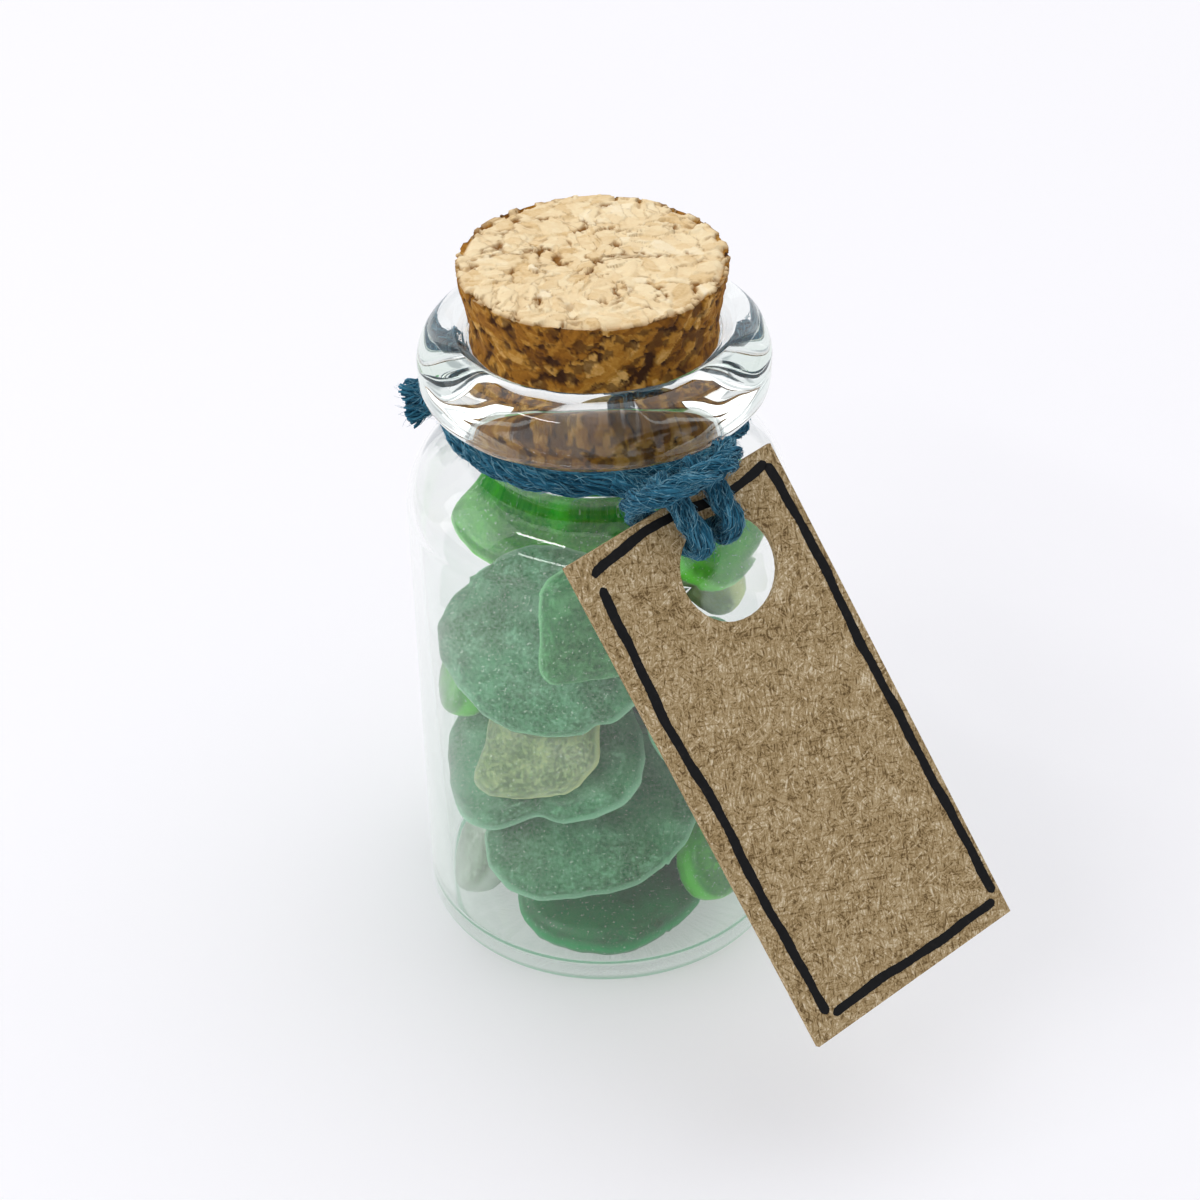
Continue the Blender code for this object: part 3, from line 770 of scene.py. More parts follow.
def nearest_two(points: np.ndarray, seeds: np.ndarray
                ) -> tuple[np.ndarray, np.ndarray, np.ndarray]:
    """Find the two seeds that lie nearest to each point.

    Args:
        points: one row for each point.
        seeds: one row for each seed.

    Returns:
        Number of the nearest seed, its distance and the second seed's distance.
    """
    tree = KDTree(len(seeds))
    for number, seed in enumerate(seeds.tolist()):
        tree.insert(seed, number)
    tree.balance()
    found = [tree.find_n(point, 2) for point in points.tolist()]
    owner = np.array([pair[0][1] for pair in found])
    gaps = np.array([(pair[0][2], pair[1][2]) for pair in found])
    return owner, gaps[:, 0], gaps[:, 1]


def noise_at(points: np.ndarray, pitch: float, octaves: int = 3) -> np.ndarray:
    """Work out fractal noise between about -1 and 1.

    Args:
        points: one row for each point.
        pitch: width of the noise's features.
        octaves: number of layers of finer features.

    Returns:
        One value for each point.
    """
    scale = per_metre(pitch)
    values = [noise.fractal(Vector(point) * scale, 0.7, 2.0, octaves) for point in points]
    return np.array(values)


@dataclass
class CorkStopper:
    """Tapered stopper of pressed granules, with a chipped rim."""

    top_height: float = 43.5 * MM
    bottom_height: float = 33.4 * MM
    mouth_height: float = 39.65 * MM
    top_radius: float = 7.55 * MM
    taper: float = 0.178
    edge: float = 0.25 * MM
    squeeze: float = 0.2 * MM
    squeeze_reach: float = 0.6 * MM
    granule_pitch: float = 2.3 * MM
    bend_pitch: float = 1.0 * MM
    granule_bend: float = 0.3 * MM
    flake_bend: float = 0.12 * MM
    # Half the width of the block of flakes that each granule is cut from, in granules
    flake_field: float = 3.2
    flake_pitch: float = 1.05 * MM
    flake_shape: tuple[float, float, float] = (1.9, 1.0, 0.55)
    line_pitch: float = 0.3 * MM
    line_stretch: tuple[float, float, float] = (0.12, 1.0, 1.0)
    line_height: float = 0.015 * MM
    relief: float = 0.09 * MM
    tilt: float = 0.12
    most_tilt: float = 0.5 * MM
    rim_chip: float = 0.3 * MM
    # Distances from the rim at which the chips are full and end
    rim_reach: tuple[float, float] = (0.3 * MM, 0.75 * MM)
    chipped_share: float = 0.4
    crevice_width: float = 0.13 * MM
    crevice_depth: float = 0.1 * MM
    crevice_pitch: float = 1.7 * MM
    flake_gap: float = 0.07 * MM
    crack_pitch: float = 0.9 * MM
    crack_share: float = 0.4
    pit_pitch: float = 0.75 * MM
    pit_depth: float = 0.15 * MM
    most_out: float = 0.05 * MM
    # Heights above and below the mouth between which the glass presses the cork smooth
    held_above: float = 0.3 * MM
    held_reach: float = 0.5 * MM
    held_share: float = 0.75
    ground_share: float = 0.45
    segments: int = 480
    ring_pitch: float = 0.09 * MM
    bottom_rings: int = 24
    seed: int = 7

    def radius_at(self, height: float) -> float:
        """Find the plain cone's radius, a little fuller where the mouth grips it.

        Args:
            height: height above the floor.

        Returns:
            The radius.
        """
        plain = self.top_radius - self.taper * (self.top_height - height)
        grip = min(max((self.mouth_height - height) / self.squeeze_reach, 0.0), 1.0)
        return plain + self.squeeze * grip

    def profile(self) -> list[tuple[float, float]]:
        """Draw the outline from the middle of the top to the middle of the bottom, in small steps.

        Returns:
            Distances from the axis and heights.
        """
        points = [(0.0, self.top_height)]
        reach = self.top_radius - self.edge
        steps = int(reach / self.ring_pitch)
        points += [(reach * (step + 1) / steps, self.top_height) for step in range(steps)]
        steps = int((self.top_height - self.bottom_height - self.edge) / self.ring_pitch)
        for step in range(steps):
            height = self.top_height - self.edge * 0.5 - self.ring_pitch * step
            points.append((self.radius_at(height), height))
        reach = self.radius_at(self.bottom_height) - self.edge
        points += [(reach * (1 - step / self.bottom_rings), self.bottom_height)
                   for step in range(self.bottom_rings + 1)]
        return points

    def granules(self, points: np.ndarray) -> dict[str, np.ndarray]:
        """Work out the granules, their flakes, the crevices and the pits at each point.

        Args:
            points: the plain stopper's points.

        Returns:
            The shift outward and the values that the finish reads, by name.
        """
        rng = np.random.default_rng(self.seed)
        low = points.min(0) - self.granule_pitch
        high = points.max(0) + self.granule_pitch
        amount = int(np.prod(high - low) / self.granule_pitch ** 3)
        middles = rng.uniform(low, high, (amount, 3))
        bend = np.stack([noise_at(points + shift, self.bend_pitch, 3) for shift in (0.0, 0.05, 0.1)], 1)
        owner, first, second = nearest_two(points + bend * self.granule_bend, middles)
        between = second - first
        gate = noise_at(points, self.crevice_pitch, 2)
        crevice = 1.0 - smooth_step(0.0, self.crevice_width, between)
        crevice = crevice * smooth_step(-0.35, 0.15, gate)
        ways = np.linalg.qr(rng.normal(size=(amount, 3, 3)))[0]
        inside = points + bend * self.flake_bend - middles[owner]
        inside = np.einsum("ij,ijk->ik", inside, ways[owner])
        reach = self.flake_field * self.granule_pitch
        shift = rng.uniform(-reach, reach, (amount, 3))[owner]
        local = inside / np.array(self.flake_shape) + shift
        count = int((4 * reach / self.flake_pitch) ** 3)
        seeds = rng.uniform(-2 * reach, 2 * reach, (count, 3))
        flake, near, next_near = nearest_two(local, seeds)
        open_gap = 1.0 - smooth_step(0.0, self.flake_gap, next_near - near)
        crack = open_gap * smooth_step(-0.05, 0.4, noise_at(points, self.crack_pitch, 2))
        slope = np.einsum("ij,ij->i", local - seeds[flake], rng.normal(size=(count, 3))[flake])
        lines = noise_at(local * np.array(self.line_stretch), self.line_pitch, 2)
        flake_tone = rng.uniform(0.0, 1.0, count)[flake]
        tone = 0.3 * rng.uniform(0.0, 1.0, amount)[owner] + 0.5 * flake_tone + 0.14 + 0.12 * lines
        ragged = noise_at(points, self.pit_pitch, 3)
        loose = 1.0 - smooth_step(0.1 * MM, 0.55 * MM, between)
        drop = self.top_height - points[:, 2]
        distance = np.linalg.norm(points[:, :2], axis=1)
        inward = self.top_radius - self.taper * drop - distance
        on_side = smooth_step(0.1 * MM, 0.4 * MM, drop)
        pit = smooth_step(0.22, 0.34, ragged + 0.16 * on_side) * np.maximum(loose, 0.7 * on_side)
        pit *= smooth_step(-0.05, 0.2, gate + 0.3 * on_side)
        chipped = 1.0 - smooth_step(*self.rim_reach, np.hypot(inward, drop))
        chipped = chipped * (rng.uniform(size=count)[flake] < self.chipped_share)
        lift = 0.6 * rng.uniform(-1.0, 0.2, amount)[owner] + rng.uniform(-0.7, 0.25, count)[flake]
        out = self.relief * lift + self.tilt * np.clip(slope, -self.most_tilt, self.most_tilt)
        sunk = self.crevice_depth * crevice + self.crack_share * self.crevice_depth * crack
        out -= sunk + self.pit_depth * pit
        out += self.line_height * lines - self.rim_chip * chipped * (1 - 0.5 * on_side)
        # How far the colour darkens: painted shade in the crevices, cracks and pits
        dark = np.clip(0.6 * crevice + 0.5 * crack + 0.95 * pit, 0.0, 1.0)
        return {"shift": out, "granule": tone, "crevice": dark}

    def build(self) -> None:
        """Make the cork in place of its CAD node, riding on the stopper."""
        mesh = turned_mesh("cork_looks", self.profile(), self.segments)
        points, normals = mesh_arrays(mesh)
        values = self.granules(points)
        height = points[:, 2]
        out = np.linalg.norm(points[:, :2], axis=1)
        held = smooth_step(0.0, self.held_reach, self.mouth_height + self.held_above - height)
        plain = np.array([self.radius_at(value) for value in height])
        flat = self.ground_share * smooth_step(-0.4 * MM, 0.0, out - plain)
        shift = values.pop("shift") * (1 - self.held_share * held) * (1 - flat)
        shift = np.minimum(shift, self.most_out)
        points += normals * shift[:, None]
        mesh.vertices.foreach_set("co", points.astype(np.float32).ravel())
        # Marks the side, whose colour the finish darkens, partly as painted shade
        ground = smooth_step(-0.5 * MM, -0.3 * MM, out - plain)
        values["ground"] = ground * smooth_step(0.05 * MM, 0.2 * MM, self.top_height - height)
        add_values(mesh, values)
        mesh.update()
        piece = add_piece("pressed_cork", mesh, PressedCork().material())
        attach(piece, Body.STOPPER.value)
        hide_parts("cork_stopper")
        LOG.info("cork: %d faces", len(mesh.polygons))


class Shade(Enum):
    """The colours of the tumbled shards, by the record's slots."""

    SAGE = TumbledSeaGlass("sea_glass_tumbled_sage", "sea_glass_sage", "#30AA60", "#A4DAB8")
    SEA_GREEN = TumbledSeaGlass("sea_glass_tumbled_sea", "sea_glass_sea_green", "#4CC080", "#BCECD0")
    PALE_GREEN = TumbledSeaGlass("sea_glass_tumbled_pale", "sea_glass_pale_green", "#2EAA54", "#8ED298")
    PALE_GREY = TumbledSeaGlass("sea_glass_tumbled_grey", "sea_glass_pale_grey", "#C4D6C0", "#E4ECE2")
    BRIGHT_GREEN = TumbledSeaGlass("sea_glass_tumbled_bright", "sea_glass_bright_green",
                                   "#18BC08", "#6AE23C", skin=0.3)
    DARK_GREEN = TumbledSeaGlass("sea_glass_tumbled_dark", "sea_glass_dark_green",
                                 "#00883A", "#26AE66", skin=0.5)
    OLIVE = TumbledSeaGlass("sea_glass_tumbled_olive", "sea_glass_olive",
                            "#BCD4AC", "#D0DCA0", skin=0.95)


class Dent(NamedTuple):
    """A hollow in a shard's outline, or a bulge where the depth is negative."""

    way: tuple[float, float, float]
    depth: float
    width: float


# Hollows and bulges that the photograph shows in the outlines of the front shards
DENTS = {
    "sea_glass_kidney_sage": (Dent((0.1, 0.0, -1.0), 0.12, 0.25), Dent((-0.45, 0.0, -0.9), -0.19, 0.4),
                              Dent((0.8, 0.0, -0.7), -0.05, 0.3)),
    "sea_glass_rounded_sage": (Dent((-0.4, 0.0, -0.9), -0.1, 0.5),),
    "sea_glass_bottom_dark": (Dent((-1.0, 0.0, -0.2), -0.09, 0.5),),
    "sea_glass_olive_trapezoid": (Dent((0.3, 0.0, -0.95), 0.12, 0.4), Dent((-0.7, 0.0, -0.7), -0.24, 0.3),
                                  Dent((0.85, 0.0, -0.5), -0.1, 0.25)),
    "sea_glass_square_pale": (Dent((-0.75, 0.0, -0.75), -0.2, 0.3), Dent((-1.0, 0.0, 0.1), 0.04, 0.3)),
    "sea_glass_top_green": (Dent((-0.6, 0.0, -0.8), 0.2, 0.5), Dent((-1.0, 0.0, 0.5), -0.12, 0.25)),
    "sea_glass_large_sage": (Dent((-0.7, 0.0, 0.7), 0.1, 0.4), Dent((0.5, 0.0, -0.85), 0.05, 0.12))}
# Shards that the sea has worn the least
CRISP = ("sea_glass_square_pale", "sea_glass_olive_trapezoid")


@dataclass
class SeaGlassPile:
    """The tumbled shards, softened and pitted copies of their CAD nodes."""

    voxel: float = 0.16 * MM
    soften_rounds: int = 5
    dimple_pitch: float = 1.6 * MM
    dimple_depth: float = 0.05 * MM
    dimple_most: float = 0.3
    dimple_base: float = 0.2
    wear_base: float = 0.2
    wear_share: float = 0.42
    outline_wear: float = 0.08
    crisp_wear: float = 0.02
    swell: float = 0.12 * MM
    clearance: float = 0.08 * MM
    filler_tries: int = 5000
    filler_gap: float = 0.05 * MM
    filler_lowest: float = 2.0 * MM
    filler_highest: float = 26.0 * MM
    filler_reach: float = 9.6 * MM
    # Half the length of the first filler tried, and how much smaller the last one is
    filler_half_mm: tuple[float, float] = (3.6, 2.2)
    filler_width: tuple[float, float] = (0.6, 0.9)
    filler_thick_mm: tuple[float, float] = (0.8, 1.2)
    # Powers that square off the rim and the faces
    filler_round: tuple[float, float] = (0.62, 0.8)
    filler_wear: float = 0.07
    filler_rows: int = 28
    filler_steps: int = 56
    probe_count: int = 10
    probe_turn: float = 2.4
    probe_swell: float = 1.02
    seed: int = 4

    def shades(self) -> dict[str, Shade]:
        """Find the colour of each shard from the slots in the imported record.

        Returns:
            The shade of each shard, by its CAD node's name.
        """
        by_slot = {shade.value.slot: shade for shade in Shade}
        rows = frame["record"]["subparts"]
        return {row["node"]: by_slot[row["material_slot"]] for row in rows
                if row["material_slot"] in by_slot}

    def worn_outline(self, points: np.ndarray, plate_ways: np.ndarray,
                     rng: np.random.Generator, shaping: Iterable[Dent],
                     depth_share: float) -> np.ndarray:
        """Wear a shard's outline uneven, towards its middle and within its plate.

        Args:
            points: the shard's points.
            plate_ways: its plate's two long directions, one in each column.
            rng: source of the unevenness.
            shaping: this shard's own hollows and bulges.
            depth_share: depth of the unevenness, as a share of the shard's size.

        Returns:
            The moved points.
        """
        middle = points.mean(0)
        flat = (points - middle) @ plate_ways
        angle = np.arctan2(flat[:, 1], flat[:, 0])
        wave = np.zeros(len(points))
        for order in range(2, 7):
            wave += np.sin(order * angle + rng.uniform(0, 2 * np.pi)) / order ** 0.8
        wear = depth_share * np.clip(self.wear_base + self.wear_share * wave, -0.3, 1.0)
        for dent in shaping:
            towards = np.array(dent.way) @ plate_ways
            turn = angle - math.atan2(towards[1], towards[0])
            aside = np.arctan2(np.sin(turn), np.cos(turn)) / dent.width
            wear += dent.depth * np.exp(-aside ** 2)
        return points - (flat * wear[:, None]) @ plate_ways.T

    def shard_mesh(self, source: bpy.types.Object, rng: np.random.Generator) -> bpy.types.Mesh:
        """Copy a shard as an even mesh, soften its edges and dent its faces.

        Args:
            source: the shard's CAD object.
            rng: source of its unevenness.

        Returns:
            The new mesh, with how far each point is turned towards the rim.
        """
        work = bpy.data.objects.new("shard_work", source.data.copy())
        bpy.context.scene.collection.objects.link(work)
        work.data.materials.clear()
        remesh = work.modifiers.new("Even", "REMESH")
        remesh.mode = "VOXEL"
        remesh.voxel_size = self.voxel
        soften = work.modifiers.new("Soften", "SMOOTH")
        soften.factor = 0.5
        soften.iterations = self.soften_rounds
        depsgraph = bpy.context.evaluated_depsgraph_get()
        mesh = bpy.data.meshes.new_from_object(work.evaluated_get(depsgraph))
        bpy.data.objects.remove(work, do_unlink=True)
        points, normals = mesh_arrays(mesh)
        spread = np.cov((points - points.mean(0)).T)
        ways = np.linalg.eigh(spread)[1]
        rim = 1.0 - np.abs(normals @ ways[:, 0])
        depth_share = self.crisp_wear if source.name in CRISP else self.outline_wear
        points = self.worn_outline(points, ways[:, 1:], rng, DENTS.get(source.name, ()), depth_share)
        points += np.outer((normals @ ways[:, 0]) * self.swell, ways[:, 0])
        return self.finished(mesh, points, normals, rim)

    def finished(self, mesh: bpy.types.Mesh, points: np.ndarray, normals: np.ndarray,
                 rim: np.ndarray) -> bpy.types.Mesh:
        """Dent a shard's faces and keep it inside the glass.

        Args:
            mesh: the shard's mesh.
            points: its points.
            normals: their outward directions.
            rim: how far each is turned towards the rim.

        Returns:
            The same mesh, with its new points.
        """
        dents = np.minimum(noise_at(points, self.dimple_pitch, 4), self.dimple_most)
        base = self.dimple_base * self.dimple_depth
        points += normals * (dents * self.dimple_depth - base)[:, None]
        bottle = GlassBottle()
        points[:, 2] = np.maximum(points[:, 2], bottle.base_thickness + self.clearance)
        out = np.linalg.norm(points[:, :2], axis=1)
        room = bottle.room(points[:, 2]) - self.clearance
        points[:, :2] *= np.minimum(1.0, room / np.maximum(out, MM))[:, None]
        mesh.vertices.foreach_set("co", points.astype(np.float32).ravel())
        add_values(mesh, {"rim": rim})
        mesh.shade_smooth()
        return mesh

    def filler_mesh(self, name: str, middle: np.ndarray, ways: np.ndarray, half: np.ndarray,
                    rng: np.random.Generator) -> bpy.types.Mesh:
        """Make a small flat shard with an uneven rounded outline.

        Args:
            name: the mesh's name.
            middle: its middle.
            ways: its length, width and thickness directions, one in each column.
            half: half its length, width and thickness.
            rng: source of its unevenness.

        Returns:
            The mesh.
        """
        phase = rng.uniform(0, 2 * np.pi, 5)
        outline, crown = self.filler_round
        points = [middle + ways[:, 2] * half[2]]
        for row in range(1, self.filler_rows):
            slope = math.pi * row / self.filler_rows
            flat = math.sin(slope) ** outline
            rise = math.copysign(abs(math.cos(slope)) ** crown, math.cos(slope))
            for step in range(self.filler_steps):
                angle = 2 * math.pi * step / self.filler_steps
                reach = 1.0 + sum(self.filler_wear / order ** 0.4
                                  * math.sin(order * angle + phase[order - 2])
                                  for order in range(2, 7))
                points.append(middle + ways @ (half * (reach * flat * math.cos(angle),
                                                       reach * flat * math.sin(angle), rise)))
        points.append(middle - ways[:, 2] * half[2])
        faces = closed_faces(self.filler_rows - 1, self.filler_steps, True)
        mesh = mesh_from(name, np.array(points), faces)
        places, normals = mesh_arrays(mesh)
        return self.finished(mesh, places, normals, 1.0 - np.abs(normals @ ways[:, 2]))

    def probe_ways(self) -> np.ndarray:
        """Spread probe directions over a ball.

        Returns:
            The middle, the six axis directions and a spiral of others, one in each row.
        """
        turn = np.arange(self.probe_count) * self.probe_turn
        rise = np.linspace(-0.9, 0.9, self.probe_count)
        flat = np.sqrt(1 - rise ** 2)
        spiral = np.stack([np.cos(turn) * flat, np.sin(turn) * flat, rise], 1)
        return np.vstack([np.zeros((1, 3)), np.eye(3), -np.eye(3), spiral])

    def surface_tree(self, meshes: Iterable[bpy.types.Mesh]) -> BVHTree:
        """Make a search tree of the surfaces of all the meshes together.

        Args:
            meshes: the meshes.

        Returns:
            The tree.
        """
        points, faces = [], []
        for mesh in meshes:
            start = len(points)
            points += [tuple(vertex.co) for vertex in mesh.vertices]
            faces += [tuple(start + number for number in face.vertices) for face in mesh.polygons]
        return BVHTree.FromPolygons(points, faces)

    def hidden_place(self, middle: np.ndarray) -> bool:
        """Whether a place is behind the front pile, or low beside it."""
        beside = middle[0] > 5.0 * MM and middle[2] < 18.0 * MM
        return beside or middle[1] > (2.0 if middle[0] > -6.0 * MM else 5.0) * MM

    def fits(self, probes: np.ndarray, trees: Sequence[BVHTree]) -> bool:
        """Test whether a new shard would stand free.

        Args:
            probes: points of the new shard.
            trees: search trees of the shards that are there.

        Returns:
            Whether none of the points is in the glass or in another shard.
        """
        room = GlassBottle().room(probes[:, 2]) - self.clearance
        if (np.linalg.norm(probes[:, :2], axis=1) > room).any():
            return False
        for probe in probes.tolist():
            for tree in trees:
                place, normal, _, distance = tree.find_nearest(probe)
                if distance < self.filler_gap or (Vector(probe) - place).dot(normal) < 0:
                    return False
        return True

    def build_fillers(self, meshes: Sequence[bpy.types.Mesh],
                      finishes: dict[Shade, bpy.types.Material]) -> None:
        """Put small shards into the hollows that the larger ones leave.

        Args:
            meshes: the larger shards' meshes.
            finishes: the material of each shade.
        """
        rng = np.random.default_rng(self.seed)
        trees = [self.surface_tree(meshes)]
        probe_ways = self.probe_ways()
        colours = (Shade.SAGE, Shade.SEA_GREEN, Shade.PALE_GREEN, Shade.DARK_GREEN, Shade.OLIVE,
                   Shade.PALE_GREY, Shade.SAGE)
        largest, shrink = self.filler_half_mm
        number = 0
        for attempt in range(self.filler_tries):
            size = largest - shrink * attempt / self.filler_tries
            half = np.array((size, size * rng.uniform(*self.filler_width),
                             rng.uniform(*self.filler_thick_mm))) * MM
            ways = np.linalg.qr(rng.normal(size=(3, 3)))[0]
            azimuth, share = rng.uniform(0, 2 * np.pi), math.sqrt(rng.uniform())
            height = rng.uniform(self.filler_lowest, self.filler_highest)
            middle = np.array(around(azimuth, share * self.filler_reach, height))
            probes = middle + (probe_ways * half * self.probe_swell) @ ways.T
            if not (self.hidden_place(middle) and self.fits(probes, trees)):
                continue
            number += 1
            mesh = self.filler_mesh(f"filler_{number}_looks", middle, ways, half, rng)
            shade = colours[number % len(colours)]
            piece = add_piece(f"tumbled_filler_{number}", mesh, finishes[shade])
            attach(piece, Body.BOTTLE.value)
            trees.append(self.surface_tree([mesh]))
        LOG.info("fillers: %d", number)

    def build(self) -> None:
        """Make every shard in place of its CAD node, riding on the bottle."""
        finishes = {shade: shade.value.material() for shade in Shade}
        rng = np.random.default_rng(self.seed)
        meshes = []
        for node, shade in sorted(self.shades().items(), key=lambda row: row[0]):
            mesh = self.shard_mesh(frame["nodes"][node], rng)
            piece = add_piece("tumbled_" + node.removeprefix("sea_glass_"), mesh, finishes[shade])
            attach(piece, Body.BOTTLE.value)
            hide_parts(node)
            LOG.info("%s: %d faces", piece.name, len(mesh.polygons))
            meshes.append(mesh)
        self.build_fillers(meshes, finishes)


def smooth_route(points: Sequence[Vector], steps: int) -> list[Vector]:
    """Points of a Catmull-Rom curve through a route's points.

    Args:
        points: the route.
        steps: number of steps between two of its points.

    Returns:
        The finer route.
    """
    route = [points[0] * 2 - points[1], *points, points[-1] * 2 - points[-2]]
    smooth = []
    for index in range(1, len(route) - 2):
        before, start, end, after = route[index - 1:index + 3]
        for step in range(steps):
            part = step / steps
            smooth.append(0.5 * ((2 * start) + (end - before) * part
                                 + (2 * before - 5 * start + 4 * end - after) * part ** 2
                                 + (3 * start - before - 3 * end + after) * part ** 3))
    smooth.append(points[-1])
    return smooth


def even_route(points: Sequence[Vector], spacing: float, closed: bool) -> np.ndarray:
    """Lay points at an even spacing along a route.

    Args:
        points: the route, close together.
        spacing: distance between two new points.
        closed: whether the route joins its own start.

    Returns:
        One row for each new point. A closed route leaves out the repeated first point.
    """
    line = np.array([list(point) for point in points])
    if closed:
        line = np.vstack([line, line[:1]])
    reach = np.concatenate([[0.0], np.cumsum(np.linalg.norm(np.diff(line, axis=0), axis=1))])
    count = max(int(round(reach[-1] / spacing)), 4)
    places = np.linspace(0.0, reach[-1], count + 1)
    if closed:
        places = places[:-1]
    return np.stack([np.interp(places, reach, line[:, axis]) for axis in range(3)], 1)


def side_axes(line: np.ndarray, closed: bool) -> tuple[np.ndarray, np.ndarray]:
    """Two directions across a route that turn as little as they can along it.

    Args:
        line: the route's points.
        closed: whether it joins its own start, where the axes then meet again.

    Returns:
        The first and second direction at each point.
    """
    if closed:
        ahead = np.roll(line, -1, 0) - np.roll(line, 1, 0)
    else:
        ahead = np.gradient(line, axis=0)
    ahead /= np.linalg.norm(ahead, axis=1)[:, None]
    start = np.cross(ahead[0], (0.0, 0.0, 1.0))
    if np.linalg.norm(start) < 0.2:
        start = np.cross(ahead[0], (1.0, 0.0, 0.0))
    across = [start / np.linalg.norm(start)]
    for direction in ahead[1:]:
        side = across[-1] - direction * (across[-1] @ direction)
        across.append(side / np.linalg.norm(side))
    across = np.array(across)
    second = np.cross(ahead, across)
    if closed:
        side = across[-1] - ahead[0] * (across[-1] @ ahead[0])
        slip = math.atan2(side @ second[0], side @ across[0])
        turn = -slip * np.arange(len(line)) / len(line)
        cosine, sine = np.cos(turn)[:, None], np.sin(turn)[:, None]
        across, second = across * cosine + second * sine, second * cosine - across * sine
    return across, second


def way_at(across: np.ndarray, second: np.ndarray, angle: np.ndarray) -> np.ndarray:
    """Directions across a route, each at an angle from the first of its two axes."""
    return across * np.cos(angle)[:, None] + second * np.sin(angle)[:, None]


class FibreMesh:
    """Collects thin tubes, one for each fibre, into one mesh."""

    def __init__(self) -> None:
        """Start with no fibres."""
        self.points: list[np.ndarray] = []
        self.faces: list[tuple[int, ...]] = []
        self.tones: list[np.ndarray] = []
        self.count = 0

    def add(self, line: np.ndarray, radii: np.ndarray, tone: float, closed: bool,
            sides: int = 5) -> None:
        """Add one tube.

        Args:
            line: the fibre's centre line.
            radii: its radius at each point.
            tone: how pale it is, from 0 to 1.
            closed: whether it joins its own start.
            sides: number of faces round it.
        """
        across, second = side_axes(line, closed)
        angles = 2 * np.pi * np.arange(sides) / sides
        ring = (across[:, None, :] * np.cos(angles)[None, :, None]
                + second[:, None, :] * np.sin(angles)[None, :, None])
        shape = line[:, None, :] + ring * radii[:, None, None]
        self.points.append(shape.reshape(-1, 3))
        self.tones.append(np.full(shape.shape[0] * sides, tone))
        rows = len(line)
        for row in range(rows if closed else rows - 1):
            here = self.count + row * sides
            there = self.count + ((row + 1) % rows) * sides
            for side in range(sides):
                after = (side + 1) % sides
                self.faces.append((here + side, here + after, there + after, there + side))
        if not closed:
            end = self.count + (rows - 1) * sides
            self.faces.append(tuple(self.count + side for side in reversed(range(sides))))
            self.faces.append(tuple(end + side for side in range(sides)))
        self.count += rows * sides

    def mesh(self, name: str) -> bpy.types.Mesh:
        """Make one mesh of all the tubes."""
        return mesh_from(name, np.vstack(self.points), self.faces,
                         {"tone": np.concatenate(self.tones)})


